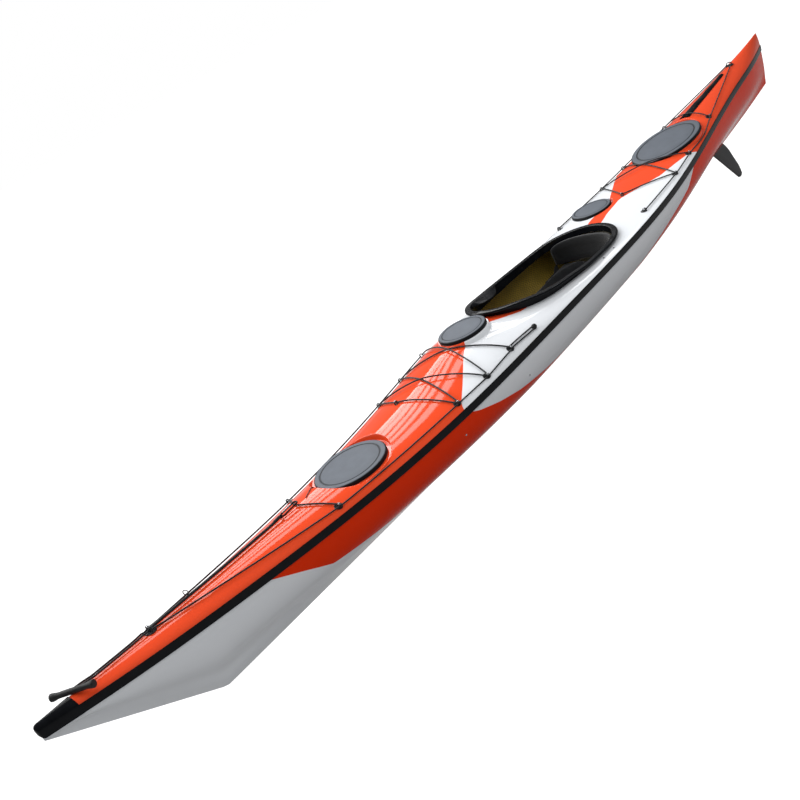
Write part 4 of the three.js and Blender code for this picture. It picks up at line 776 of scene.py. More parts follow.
# Bow cap: a thin black gelcoat saddle bonded over the last of the deck and the band, where the
# boat meets the beach. It is as polished as the band, and ends ahead in a blunt rounded nose.
CAP_WALL = 0.0028
CAP_FIT = 0.0008
CAP_EDGE = 0.0008
CAP_STATIONS = 14
NOSE_LENGTH = 0.013
NOSE_STEPS = 9
NOSE_TURN = 1.5
NOSE_HEART_SHARE = 0.55
NOSE_POWERS = (0.8, 0.6)
NOSE_LAP = 0.006
CAP_COLUMNS = 17
CAP_FOOT_SHARES = (1.0, 0.66, 0.33)


def saddle_half(share, inset):
    """Port half of the saddle, from the band's lower edge up over the deck to the ridge."""
    y, z = deck_section(share, np.linspace(0, 1, CAP_COLUMNS), inset)
    foot = sheer_at(share) - BAND_WIDTH * np.array(CAP_FOOT_SHARES)
    return np.concatenate([np.full(len(foot), beam_at(share) - inset), y]), np.concatenate([foot, z])


def saddle_section(share, edge=0.0):
    """Closed section of the saddle's wall; its after edge is thinner."""
    outer_y, outer_z = saddle_half(share, edge - CAP_WALL)
    inner_y, inner_z = saddle_half(share, -CAP_FIT)
    y = np.concatenate([outer_y, -outer_y[-2::-1], -inner_y, inner_y[-2::-1]])
    z = np.concatenate([outer_z, outer_z[-2::-1], inner_z, inner_z[-2::-1]])
    return placed(share, y, z)


def nose_section(turn):
    """Whole section of the nose, drawn in towards its tip."""
    y, z = saddle_half(1, -CAP_WALL)
    low, high = z[0], z[-1]
    heart = low + (high - low) * NOSE_HEART_SHARE
    across, up = NOSE_POWERS
    y = np.concatenate([y, -y[-2::-1]]) * math.cos(turn) ** across
    z = heart + (np.concatenate([z, z[-2::-1]]) - heart) * math.cos(turn) ** up
    return placed(1, y, z) + np.array([NOSE_LENGTH * math.sin(turn), 0, 0])


saddle_rows = [saddle_section(CAP_SHARE, CAP_EDGE) - np.array([CAP_EDGE, 0, 0])]
saddle_rows += [saddle_section(share) for share in np.linspace(CAP_SHARE, 1, CAP_STATIONS)]
saddle = np.array(saddle_rows)
nose = np.array([nose_section(turn) for turn in np.linspace(0, NOSE_TURN, NOSE_STEPS)])
nose = np.concatenate([nose[:1] - np.array([NOSE_LAP, 0, 0]), nose])
cap_points = np.concatenate([saddle.reshape(-1, 3), nose.reshape(-1, 3)])
cap_faces = tube_faces(*saddle.shape[:2])
cap_faces += tube_faces(*nose.shape[:2], start=saddle.shape[0] * saddle.shape[1])
cap_moulding = new_piece(
    "bow_cap_moulding", cap_points, cap_faces, black_gelcoat, ["bow_cap"], "black_gloss",
)
faces_out(cap_moulding)

# Hatches: a rubber rim is clamped to each seat, and a round or oval rubber cover snaps over its
# lip. The covers' tops are painted a dusty grey, partly sun bleaching and partly painted light
# from above, and their skirts are painted black as painted shade.
RIM_FLANGE = 0.0029
RIM_LIP = 0.0079
RIM_WALL = 0.003
RIM_SLEEVE = 0.012
COVER_SKIRT = 0.0032
COVER_UNDER = 0.0082
COVER_TOP = 0.015
RIM_ROUND = 0.0008
RIM_FILLET = 0.001
RIM_FOOT_ROUND = 0.0006
# The cover's edge, as insets and heights, and its top, as shares of the radius and drops
COVER_EDGE = [
    (0.0025, 0.0037), (0.001, COVER_SKIRT), (0.0002, 0.0038), (0, 0.0052), (0, 0.0098),
    (0.0004, 0.0112), (0.0015, 0.0129), (0.0034, 0.0143), (0.006, COVER_TOP),
]
COVER_CROWN = [
    (0.86, 0), (0.845, 0.0003), (0.836, 0.0013), (0.826, 0.0017), (0.816, 0.0014), (0.806, 0.0006),
    (0.79, 0.0003), (0.55, 0.0001), (0.25, 0), (0, 0),
]
# The groove near a cover's edge gets less of the painted light: painted shade in the groove
GROOVE_SHARES = (0.8, 0.855)
GROOVE_PAINTED_LIGHT = 0.45
# Where the painted light on a cover's top starts and over what distance it grows, up the edge and
# in from it
PAINTED_LIGHT_UP = (0.0125, 0.0024)
PAINTED_LIGHT_IN = (0.0015, 0.004)
LATHE_SIDES = 128
RUBBER_GRAIN_MM = 2.0


def lathe_form(profile, sides=LATHE_SIDES):
    """Revolves a profile of [radius, height] about the vertical; it closes on its first point or
    on the axis."""
    points = []
    rows = []
    for radius, height in profile:
        if radius == 0:
            rows.append([len(points)] * sides)
            points.append((0, 0, height))
            continue
        rows.append(list(range(len(points), len(points) + sides)))
        turns = np.arange(sides) * 2 * math.pi / sides
        points += [(radius * math.cos(turn), radius * math.sin(turn), height) for turn in turns]
    if profile[0][0] != 0:
        rows.append(rows[0])
    faces = []
    for low, high in zip(rows[:-1], rows[1:]):
        for j in range(sides):
            k = (j + 1) % sides
            face = [low[j], low[k], high[k], high[j]]
            faces.append(tuple(dict.fromkeys(face)))
    return np.array(points), faces


def on_hatch(points, hatch):
    """Stretches a turned piece to the hatch's oval and sets it on its seat."""
    a, b = hatch["half"]
    tilt = hatch["tilt"]
    x = points[:, 0] * a / b
    z = points[:, 2]
    tilted_x = x * math.cos(tilt) + z * math.sin(tilt)
    tilted_z = z * math.cos(tilt) - x * math.sin(tilt)
    tilted = np.stack([tilted_x, points[:, 1], tilted_z], axis=-1)
    return tilted + np.array(hatch["at"]) + np.array([0, 0, KEEL_Z])


def painted_light_rubber(name, shaded_codes, painted_lit_codes):
    """Synthetic rubber: matt and finely grained; painted chalky grey where light falls on it, partly
    sun bleaching, and painted near black where it is in shade.
    """
    material, tree, where = new_finish(name)
    painted_light = add_node(tree, "ShaderNodeAttribute", settings={"attribute_name": "painted_light"}).outputs["Fac"]
    dust = add_node(tree, "ShaderNodeTexNoise", {"Vector": where}, Scale=1000 / DUST_MM, Detail=5.0)
    grain = add_node(tree, "ShaderNodeTexNoise", {"Vector": where}, Scale=1000 / RUBBER_GRAIN_MM)
    shades = []
    for low, high in (shaded_codes, painted_lit_codes):
        mix = {"Factor": dust, LOW_COLOUR: linear(low), HIGH_COLOUR: linear(high)}
        shades.append(add_node(tree, "ShaderNodeMix", mix, {"data_type": "RGBA"}).outputs[MIXED_COLOUR])
    surface(
        tree, painted_light, shades, dust, (0.42, 0.62), grain,
        depth_mm=0.12, strength=0.5, IOR=1.52, Specular_IOR_Level=0.16,
    )
    return material


rim_rubber = moulded_face(
    "black_rubber", ("#101214", "#1e2023"), roughness=(0.5, 0.7), grain_mm=RUBBER_GRAIN_MM, depth_mm=0.15,
    IOR=1.52,
)
cover_rubber = painted_light_rubber("rubber_with_painted_light", ("#0c0e10", "#17191c"), ("#4e545c", "#646a73"))
for hatch_name, hatch in HATCHES.items():
    radius = hatch["half"][1]
    outer = radius - SEAL_WIDTH
    inner = outer - RIM_WALL
    rim_profile = [
        (inner, -RIM_SLEEVE), (outer, -RIM_SLEEVE), (outer, BAND_GAP), (radius - RIM_FOOT_ROUND, BAND_GAP),
        (radius, BAND_GAP + RIM_FOOT_ROUND), (radius, RIM_FLANGE - RIM_ROUND),
        (radius - RIM_ROUND, RIM_FLANGE),
        (outer + RIM_FILLET, RIM_FLANGE), (outer, RIM_FLANGE + RIM_FILLET), (outer, RIM_LIP - RIM_FILLET),
        (outer - RIM_ROUND, RIM_LIP), (inner + RIM_ROUND, RIM_LIP), (inner, RIM_LIP - RIM_FILLET),
    ]
    rim_points, rim_faces = lathe_form(rim_profile)
    new_piece(
        f"{hatch_name}_rim", on_hatch(rim_points, hatch), rim_faces, rim_rubber,
        [f"{hatch_name}_hatch_rim"], "rubber",
    )
    cover_profile = [(0, COVER_UNDER), (outer, COVER_UNDER)]
    cover_profile += [(radius - inset, height) for inset, height in COVER_EDGE]
    cover_profile += [(radius * share, COVER_TOP - drop) for share, drop in COVER_CROWN]
    cover_points, cover_faces = lathe_form(cover_profile)
    lid = new_piece(
        f"{hatch_name}_cover_lid", on_hatch(cover_points, hatch), cover_faces, cover_rubber,
        [f"{hatch_name}_hatch_cover"], "cover", f"{hatch_name}_cover", sharp=50,
    )
    # Painted light: each cover's top is painted paler where light falls; its skirt and groove are painted
    # darker as shade
    reach = np.hypot(cover_points[:, 0], cover_points[:, 1])
    lit_up = np.clip((cover_points[:, 2] - PAINTED_LIGHT_UP[0]) / PAINTED_LIGHT_UP[1], 0, 1)
    lit_in = np.clip((radius - reach - PAINTED_LIGHT_IN[0]) / PAINTED_LIGHT_IN[1], 0, 1)
    in_groove = (reach > radius * GROOVE_SHARES[0]) & (reach < radius * GROOVE_SHARES[1])
    store(lid, "painted_light", lit_up * lit_in * np.where(in_groove, GROOVE_PAINTED_LIGHT, 1))

# Knee pod and bulkheads: a tub under the small front hatch and three slabs across the boat, all
# of glass laminate bonded in place. They show pale resin over the cloth's squares.
pale_laminate = laminate("pale_glass_laminate", "#a5a294", "#cfcbbd")
BARE_EDGE_ROUND = 0.0008
BARE_EDGE_ANGLE = 30


def refinish(node, material, edge_round=BARE_EDGE_ROUND):
    """Gives a CAD piece its real finish and takes the sharpness off its edges."""
    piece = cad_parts[node]
    piece.data.materials.clear()
    piece.data.materials.append(material)
    soft = piece.modifiers.new("soft_edges", "BEVEL")
    soft.width = edge_round
    soft.segments = 2
    soft.limit_method = "ANGLE"
    soft.angle_limit = math.radians(BARE_EDGE_ANGLE)


for node in ("knee_pod", "bulkhead_front", "bulkhead_cockpit", "bulkhead_day"):
    refinish(node, pale_laminate)

# Coaming: one black gelcoat moulding bonded round the cockpit. Its riser climbs from under the
# deck to an outward lip that holds a spray deck, with thigh braces let into both front sides.
LIP_DROP = 0.009
LIP_WALL = 0.0035
RISER_WALL = 0.004
RISER_FOOT = 0.012
COAMING_RISE = 0.042
COAMING_ROUND = 0.0016
BRACE_REACH = 0.052
BRACE_DROP = 0.014
BRACE_WALL = 0.005
BRACE_SPAN = (0.14, 0.4)
COAMING_RISE_PLACES = [0, 0.05, 0.13, 0.25, 0.38, 0.5, 0.62, 0.75, 0.86, 0.95, 1]
COAMING_RISE_SHARES = [0.58, 0.83, 1, 0.9, 0.786, 0.657, 0.56, 0.49, 0.474, 0.4, 0.3]
coaming_rise = fair(COAMING_RISE_PLACES, COAMING_RISE_SHARES)

edge, back = cockpit_plan(0)
under = cockpit_plan(LIP_WALL)[0]
riser = cockpit_plan(LIP_WIDTH)[0]
inside = cockpit_plan(LIP_WIDTH + RISER_WALL)[0]
brace_middle = sum(BRACE_SPAN) / 2
brace_half = (BRACE_SPAN[1] - BRACE_SPAN[0]) / 2
brace = np.maximum(0, 1 - ((back - brace_middle) / brace_half) ** 2)
shelf_edge = inside - np.stack([np.zeros_like(brace), BRACE_REACH * brace * np.sign(edge[:, 1])], axis=-1)
lip_top = deck_height(share_of(edge[:, 0]), edge[:, 1]) + COAMING_RISE * coaming_rise(back)
foot = deck_height(share_of(riser[:, 0]), riser[:, 1]) - SHELL_WALL - RISER_FOOT
shelf = lip_top - BRACE_DROP
coaming_corners = [
    (edge, lip_top - LIP_DROP), (edge, lip_top - LIP_WALL), (under, lip_top), (inside, lip_top),
    (shelf_edge, shelf), (shelf_edge, shelf - BRACE_WALL), (inside, shelf - BRACE_WALL - LIP_WALL),
    (inside, foot), (riser, foot), (riser, lip_top - LIP_WALL), (under, lip_top - LIP_WALL),
    (under, lip_top - LIP_DROP),
]
coaming_sections = np.stack(
    [np.concatenate([spot, (z + KEEL_Z)[:, None]], axis=1) for spot, z in coaming_corners], axis=1,
)
swept(
    "cockpit_rim", rounded(coaming_sections, COAMING_ROUND), black_gelcoat, closed=True,
    nodes=["coaming"], slot="black_gloss",
)

# Seat: a block of closed-cell foam carved to a scoop and glued to the hull inside. Its skin is
# matt charcoal with fine open cells, its edges are rounded by sanding, and it has pivot bosses.
SEAT_LENGTH = 0.38
SEAT_WIDTH = 0.328
SEAT_HEIGHT = 0.165
SEAT_AHEAD = 0.08465
SCOOP_HALF = (0.205, 0.152)
SCOOP_DEPTH = 0.12
SEAT_EDGE_ROUND = 0.012
SEAT_COLUMNS = 48
SEAT_LEAST = 0.012
SCOOP_EDGE_POWER = 12
HULL_HALVINGS = 30
PIVOT_AHEAD = 0.25226
PIVOT_RADIUS = 0.005
PIVOT_HEIGHT = 0.15
BOSS_ROOT = 0.012
BOSS_LENGTH = 0.006
BOSS_ROUND = 0.001
BOSS_CROWN = 0.0072
BOSS_CLEAR = 0.0006
BOSS_SIDES = 32
FOAM_CELL_MM = 2.2
SOFT_ANGLE = 60
coaming_aft = along_at(COAMING_FRONT_SHARE) - COAMING_LENGTH
pivot_x = coaming_aft + PIVOT_AHEAD
eva_foam = moulded_face(
    "closed_cell_foam", ("#0f1113", "#1c1e22"), roughness=(0.82, 0.95), grain_mm=FOAM_CELL_MM, depth_mm=0.35,
    IOR=1.45, Sheen_Weight=0.25, Sheen_Roughness=0.5,
)


def hull_inside(x, y, inset):
    """Height of the hull's inside face under a place, found along its section."""
    low, high = halved(
        np.zeros(np.shape(y)), np.ones(np.shape(y)),
        lambda t: hull_section(share_of(x), t, inset)[0] > np.abs(y), HULL_HALVINGS,
    )
    side_height = hull_section(share_of(x), low, inset)[1]
    flat = keel_at(share_of(x)) + inset
    return np.where(high >= 1 - 1e-6, flat, side_height)


seat_run = np.linspace(-1, 1, SEAT_COLUMNS + 1)
seat_u, seat_v = np.meshgrid(seat_run, seat_run, indexing="ij")
seat_x = coaming_aft + SEAT_AHEAD + SEAT_LENGTH * (1 + seat_u) / 2
seat_y = SEAT_WIDTH / 2 * seat_v
out_of_scoop = (SEAT_LENGTH / 2 * seat_u / SCOOP_HALF[0]) ** 2 + (seat_y / SCOOP_HALF[1]) ** 2
bowl = np.clip(1 - out_of_scoop, 0, 1)
edge_fall = np.minimum(SEAT_LENGTH / 2 * (1 - np.abs(seat_u)), SEAT_WIDTH / 2 * (1 - np.abs(seat_v)))
edge_round = np.clip(1 - edge_fall / SEAT_EDGE_ROUND, 0, 1) ** 2 * SEAT_EDGE_ROUND / 2
scoop = SCOOP_DEPTH * np.sqrt(bowl) * (1 - np.exp(-bowl * SCOOP_EDGE_POWER))
seat_top = SEAT_HEIGHT - scoop - edge_round
seat_low = np.minimum(hull_inside(seat_x, seat_y, SHELL_WALL + BAND_GAP), seat_top - SEAT_LEAST)
seat_count = seat_x.size
seat_points = np.concatenate([
    np.stack([seat_x, seat_y, z + KEEL_Z], axis=-1).reshape(-1, 3) for z in (seat_top, seat_low)
])
side = SEAT_COLUMNS + 1
top_faces = grid_faces(side, side)
seat_faces = top_faces + [tuple(i + seat_count for i in face[::-1]) for face in top_faces]
for i in range(SEAT_COLUMNS):
    for a, b in (
        (i, i + 1), ((i + 1) * side, i * side), ((i + 1) * side - 1, (i + 2) * side - 1),
        (seat_count - side + i + 1, seat_count - side + i),
    ):
        seat_faces.append((a, b, b + seat_count, a + seat_count))
seat_block = new_piece("seat_foam", seat_points, seat_faces, eva_foam, ["seat"], "foam", sharp=SOFT_ANGLE)
faces_out(seat_block)
for boss_name, sign in (("port", 1), ("starboard", -1)):
    boss_points, boss_faces = lathe_form([
        (0, -BOSS_ROOT), (PIVOT_RADIUS, -BOSS_ROOT), (PIVOT_RADIUS, BOSS_LENGTH),
        (PIVOT_RADIUS - BOSS_ROUND, BOSS_LENGTH + BOSS_ROUND), (0, BOSS_CROWN),
    ], BOSS_SIDES)
    turned_out = np.stack([boss_points[:, 0], sign * boss_points[:, 2], boss_points[:, 1]], axis=-1)
    boss_at = np.array([pivot_x, sign * (SEAT_WIDTH / 2 + BOSS_CLEAR), PIVOT_HEIGHT + KEEL_Z])
    boss = new_piece(f"seat_boss_{boss_name}", turned_out + boss_at, boss_faces, rim_rubber, slot="rubber")
    faces_out(boss)

# Back band: a curved foam pad in a woven nylon cover, quilted in three bands. Two webbing arms
# join it to the seat's bosses, and it folds forward on them.
BAND_PAD_WALL = 0.022
BAND_PAD_HEIGHT = 0.11
BAND_PAD_RAISE = 0.02
BAND_ARM_WALL = 0.005
BAND_ARM_LENGTH = 0.19
BAND_DEPTH = 0.082
BAND_SEAM_SHARES = (0.34, 0.66)
BAND_SEAM_HALF = 0.03
BAND_SEAM_DEPTH = 0.3
PAD_END_THINNED = 0.45
PAD_END_LOWERED = 0.32
SQUARE_POWER = 0.55
# An arm's sections, counted from the pad and from the pivot: place ahead, half height and lift
ARM_PAD_SECTIONS = [(-0.008, 0.022, 0.014), (0.01, 0.02, 0.014), (0.035, 0.013, 0)]
ARM_PIVOT_SECTIONS = [(-0.012, 0.013, 0), (-0.004, 0.0128, 0), (0.004, 0.0115, 0), (0.009, 0.007, 0)]
ARM_WALL_SHARE = 0.9
ARM_ROUND = 0.0015
NYLON_YARN_MM = 1.6
NYLON_WEAR_MM = 50
PAD_TURNS = 72
PAD_SECTION = 64


def woven_nylon(name, dark_code, pale_code):
    """Plain-woven nylon: a fine over-and-under grid, its yarns drawn coarser so that they show."""
    material, tree, where = new_finish(name)
    yarns = add_node(
        tree, "ShaderNodeTexChecker", {"Vector": where}, Scale=1000 / NYLON_YARN_MM,
    ).outputs["Fac"]
    wear = add_node(tree, "ShaderNodeTexNoise", {"Vector": where}, Scale=1000 / NYLON_WEAR_MM, Detail=4.0)
    tone = add_node(tree, "ShaderNodeMath", {0: yarns, 1: wear}, {"operation": "MULTIPLY"})
    surface(
        tree, tone, (linear(dark_code), linear(pale_code)), wear, (0.7, 0.9), yarns,
        depth_mm=0.2, strength=0.6, IOR=1.53, Sheen_Weight=0.3, Sheen_Roughness=0.4,
    )
    return material


def squarish(value):
    """Pushes a sine or cosine towards its ends, so that a round section comes out nearly square."""
    return np.sign(value) * np.abs(value) ** SQUARE_POWER


pad_cloth = woven_nylon("black_woven_nylon", "#0a0b0d", "#1c1e22")
pad_radius = SEAT_WIDTH / 2 + BAND_GAP + BAND_ARM_WALL
pad_x = pivot_x - (BAND_ARM_LENGTH - BAND_DEPTH)
pad_bottom = PIVOT_HEIGHT + BAND_PAD_RAISE
turns = np.linspace(math.pi / 2, 3 * math.pi / 2, PAD_TURNS)
around = np.arange(PAD_SECTION) * 2 * math.pi / PAD_SECTION
pad_sections = []
for turn in turns:
    end = abs(turn - math.pi) / (math.pi / 2)
    thick = BAND_PAD_WALL / 2 * (1 - PAD_END_THINNED * end**4)
    tall = BAND_PAD_HEIGHT / 2 * (1 - PAD_END_LOWERED * end**3)
    out = np.array([math.cos(turn) * BAND_DEPTH, math.sin(turn) * pad_radius])
    normal = unit(np.array([math.cos(turn) * pad_radius, math.sin(turn) * BAND_DEPTH]))
    across = squarish(np.cos(around))
    up = squarish(np.sin(around))
    seam = sum(np.exp(-(((up + 1) / 2 - place) / BAND_SEAM_HALF) ** 2) for place in BAND_SEAM_SHARES)
    depth = thick * across * (1 - BAND_SEAM_DEPTH * seam)
    middle = np.array([pad_x, 0]) + out - normal * BAND_PAD_WALL / 2
    spot = middle[None] + normal[None] * depth[:, None]
    height = KEEL_Z + pad_bottom + BAND_PAD_HEIGHT / 2 + tall * up
    pad_sections.append(np.concatenate([spot, height[:, None]], axis=1))
back_pad = swept(
    "back_band_pad", np.array(pad_sections), pad_cloth, nodes=["back_band"], slot="foam", body="back_rest",
    sharp=None,
)
for arm_name, sign in (("port", 1), ("starboard", -1)):
    arm_y = sign * (SEAT_WIDTH / 2 + BAND_GAP + BAND_ARM_WALL / 2)
    arm_sections = []
    for start, stretch in ((pad_x, ARM_PAD_SECTIONS), (pivot_x, ARM_PIVOT_SECTIONS)):
        for ahead, half, lift in stretch:
            middle = KEEL_Z + PIVOT_HEIGHT + lift
            arm_sections.append([
                (start + ahead, arm_y + BAND_ARM_WALL / 2 * a * ARM_WALL_SHARE, middle + half * b)
                for a, b in ((1, -1), (1, 1), (-1, 1), (-1, -1))
            ])
    swept(
        f"back_band_arm_{arm_name}", rounded(arm_sections, ARM_ROUND), pad_cloth, slot="foam",
        body="back_rest",
    )

# Foot braces: on each side an anodised aluminium rail is bolted through the topside by two
# stainless screws, and a ribbed nylon pedal slides along its groove.
RAIL_SCREW_PLACES = ((0.911, 0.178), (0.524, 0.167))
SCREW_RADIUS = 0.0042
SCREW_RISE = 0.0016
SCREW_SIDES = 24
# A screw head's dome, in shares of its radius and rise, and its socket, in shares of the socket
SCREW_DOME = [(0, -1), (1, -1), (1, 0), (0.96, 0.35), (0.82, 0.72), (0.6, 0.95)]
SOCKET_SHARE = 0.42
SCREW_SOCKET = [(1.12, 1), (1, 0.93), (1, 0.2), (0, 0.2)]
HULL_SEARCH_STEPS = 400
RAIL_EDGE_ROUND = 0.0006
DRAWN_LINE_MM = 0.9
anodised_aluminium = moulded_face(
    "anodised_aluminium", ("#83888e", "#a2a7ad"), roughness=(0.3, 0.42), grain_mm=DRAWN_LINE_MM,
    depth_mm=0.03, Metallic=1.0,
)
moulded_nylon = moulded_face(
    "moulded_nylon", ("#111316", "#202328"), roughness=(0.34, 0.5), grain_mm=FINE_GRAIN_MM,
    depth_mm=0.08, IOR=1.53,
)
stainless_steel = moulded_face(
    "stainless_steel", ("#b4b8bc", "#d2d5d8"), roughness=(0.14, 0.3), grain_mm=FINE_GRAIN_MM,
    depth_mm=0.01, Metallic=1.0,
)
for side in ("port", "starboard"):
    refinish(f"foot_rail_{side}", anodised_aluminium, RAIL_EDGE_ROUND)
    refinish(f"foot_pedal_{side}", moulded_nylon)


def seated(points, point, normal):
    """Sets a piece drawn about the vertical at a point, with its top along the normal."""
    turn = np.array(Vector((0, 0, 1)).rotation_difference(normal).to_matrix())
    return np.asarray(points) @ turn.T + np.array(point)


def screw(name, point, normal, radius=SCREW_RADIUS, rise=SCREW_RISE, body="boat"):
    """Domed screw head with a round socket in its crown."""
    socket = radius * SOCKET_SHARE
    profile = [(radius * across, rise * up) for across, up in SCREW_DOME]
    profile += [(socket * across, rise * up) for across, up in SCREW_SOCKET]
    points, faces = lathe_form(profile, SCREW_SIDES)
    piece = new_piece(name, seated(points, point, normal), faces, stainless_steel, slot="metal", body=body)
    faces_out(piece)
    return piece


def hull_side(x, z, sign):
    """Point and outward normal on the hull's topside at a height above the keel."""
    share = share_of(x)
    t = np.linspace(0, 1, HULL_SEARCH_STEPS)
    y, height = hull_section(share, t)
    i = int(np.argmin(np.abs(height - z)))
    slope = np.array([y[i + 1] - y[i - 1], height[i + 1] - height[i - 1]])
    normal = Vector((0, -sign * slope[1], slope[0])).normalized()
    if normal.y * sign < 0:
        normal.negate()
    return Vector((x, sign * y[i], height[i] + KEEL_Z)), normal


for side, sign in (("port", 1), ("starboard", -1)):
    for i, (x, z) in enumerate(RAIL_SCREW_PLACES):
        screw(f"rail_screw_{side}_{i + 1}", *hull_side(x, z, sign))

# Skeg: a moulded blade, thinned to its edges like a foil, that drops from a narrow case in the
# stern on a stainless pin. The case is glassed in flush with the hull.
SKEG_THICKNESS = 0.008
SKEG_PIVOT_SHARE = 0.1672
SKEG_PIVOT_HEIGHT = 0.104
SKEG_HEAD = 0.018
SKEG_TIP_SHARE = 1.185
SKEG_EDGE = 0.002
SKEG_FOOT_SHARES = [(0.07, -0.16), (-0.78, -1.165)]
SKEG_TRAIL_SHARES = [
    (-0.9, -1.21, -0.975, -1.155), (-0.98, -0.98, -0.915, -0.84), (-0.8, -0.58, -0.745, -0.43),
    (-0.63, -0.2, -0.45, -0.05),
]
SKEG_SHOULDER_SHARES = (-0.25, 0.1)
SKEG_CURVE_STEPS = 16
SKEG_HEAD_STEPS = 24
SKEG_HEAD_END = -math.pi / 5
# The blade's faces from its edge inwards: how far in, and their share of its thickness
SKEG_FOIL = [(-0.002, 0.35), (-0.0012, 0.6), (0.0006, 0.82), (0.004, 0.95), (0.009, 1.0)]
PIN_EDGE_ROUND = 0.0004
skeg_reach = (SKEG_PIVOT_HEIGHT + KEEL_Z - SKEG_EDGE) / SKEG_TIP_SHARE
blade_outline = [np.array(place) * skeg_reach for place in SKEG_FOOT_SHARES]


def quadratic(outline, control, end):
    """Adds a quadratic curve to an outline."""
    start, control, end = outline[-1], np.array(control), np.array(end)
    for t in np.linspace(0, 1, SKEG_CURVE_STEPS + 1)[1:]:
        outline.append((1 - t) ** 2 * start + 2 * t * (1 - t) * control + t**2 * end)


for cx, cz, ex, ez in SKEG_TRAIL_SHARES:
    quadratic(blade_outline, np.array([cx, cz]) * skeg_reach, np.array([ex, ez]) * skeg_reach)
quadratic(blade_outline, np.array(SKEG_SHOULDER_SHARES) * skeg_reach, (0, SKEG_HEAD))
for angle in np.linspace(math.pi / 2, SKEG_HEAD_END, SKEG_HEAD_STEPS)[1:]:
    blade_outline.append(SKEG_HEAD * np.array([math.cos(angle), math.sin(angle)]))
blade_outline = np.array(blade_outline)
next_places = np.roll(blade_outline, -1, axis=0)
before = blade_outline - np.roll(blade_outline, 1, axis=0)
heading = unit(unit(before) + unit(next_places - blade_outline))
inward = np.stack([heading[:, 1], -heading[:, 0]], axis=1)
area = np.sum(blade_outline[:, 0] * next_places[:, 1] - next_places[:, 0] * blade_outline[:, 1])
inward *= -1 if area > 0 else 1
half_wall = SKEG_THICKNESS / 2
blade_rows = [(blade_outline + inward * depth, half_wall * wall) for depth, wall in SKEG_FOIL]
blade_rings = blade_rows[::-1] + [(ring, -wall) for ring, wall in blade_rows]
blade_sections = np.array([[(x, wall, z) for x, z in ring] for ring, wall in blade_rings])
pivot_place = np.array([along_at(SKEG_PIVOT_SHARE), 0, SKEG_PIVOT_HEIGHT + KEEL_Z])
swept(
    "skeg_fin", blade_sections + pivot_place, moulded_nylon, nodes=["skeg_blade"], slot="rubber",
    body="skeg",
)
refinish("skeg_pin", stainless_steel, PIN_EDGE_ROUND)
refinish("skeg_case", black_gelcoat)
refinish("skeg_track", moulded_nylon)
refinish("skeg_knob", moulded_nylon)

# Deck fittings: nylon bases bedded on the deck, each with a bail that a deck line runs under and
# a bungee hooks on. A stainless screw in the crown of the bail holds the fitting to the deck.
FITTING_RADIUS = 0.015
FITTING_HEIGHT = 0.0144
FITTING_BASE = 0.0012
# The base's edge, as insets and shares of its height
BASE_EDGE = [(0, 0.4), (0.0006, 1), (0.0016, 1.35)]
BASE_CROWN_SHARE = 1.45
BASE_SINK = 0.002
BASE_SIDES = 40
EYE_RADIUS = 0.021
EYE_HEIGHT = 0.018
EYE_BAIL = 0.0155
HOOK_SIDE = 0.004
LINE_SIDE = 0.0082
LINE_RADIUS = 0.0029
BAIL_CLEAR = 0.0012
BAIL_WALL = 0.003
BAIL_DEPTH = 0.0036
BAIL_CROWN_DEPTH = 0.0084
BAIL_STEPS = 20
BAIL_ROUND = 0.0008
SLOPE_STEP = 0.002
BAIL_SCREW_RADIUS = 0.0046
BAIL_SCREW_RISE = 0.0018
CENTRE_CLIP_RADIUS = 0.0095
CENTRE_CLIP_BAIL = 0.0078
CENTRE_CLIP_HEIGHT = 0.0138
CENTRE_CLIPS = {"fore": (0.681, -0.2), "aft": (0.3458, 0.04)}
FITTING_SHARES = {
    "bow_eye": (0.9233, 0),
    "fitting_bow_port": (0.7885, 0.84),
    "fitting_bow_starboard": (0.7885, -0.84),
    "fitting_fore_port": (0.6719, 0.87),
    "fitting_fore_starboard": (0.6719, -0.87),
    "fitting_knee_port": (0.6389, 0.9),
    "fitting_knee_starboard": (0.6389, -0.9),
    "fitting_cockpit_port": (0.6067, 0.88),
    "fitting_cockpit_starboard": (0.6067, -0.88),
    "fitting_seat_port": (0.382, 0.81),
    "fitting_seat_starboard": (0.385, -0.92),
    "fitting_day_port": (0.3123, 0.86),
    "fitting_day_starboard": (0.3123, -0.86),
    "fitting_aft_port": (0.2727, 0.86),
    "fitting_aft_starboard": (0.2727, -0.86),
    "fitting_stern_port": (0.197, 0.8),
    "fitting_stern_starboard": (0.197, -0.8),
    "stern_eye": (0.0777, 0),
}


def deck_seat(share, y):
    """Point and outward normal on the fair deck at a share of the length and a half breadth."""
    across = SLOPE_STEP * BEAM
    along = 2 * SLOPE_STEP * HULL_LENGTH
    slope_x = (deck_height(share + SLOPE_STEP, y) - deck_height(share - SLOPE_STEP, y)) / along
    slope_y = (deck_height(share, y + across) - deck_height(share, y - across)) / (2 * across)
    point = Vector((float(along_at(share)), float(y), float(deck_height(share, y)) + KEEL_Z))
    return point, Vector((-float(slope_x), -float(slope_y), 1)).normalized()


seats = {
    name: deck_seat(share, side_share * beam_at(share))
    for name, (share, side_share) in FITTING_SHARES.items()
}


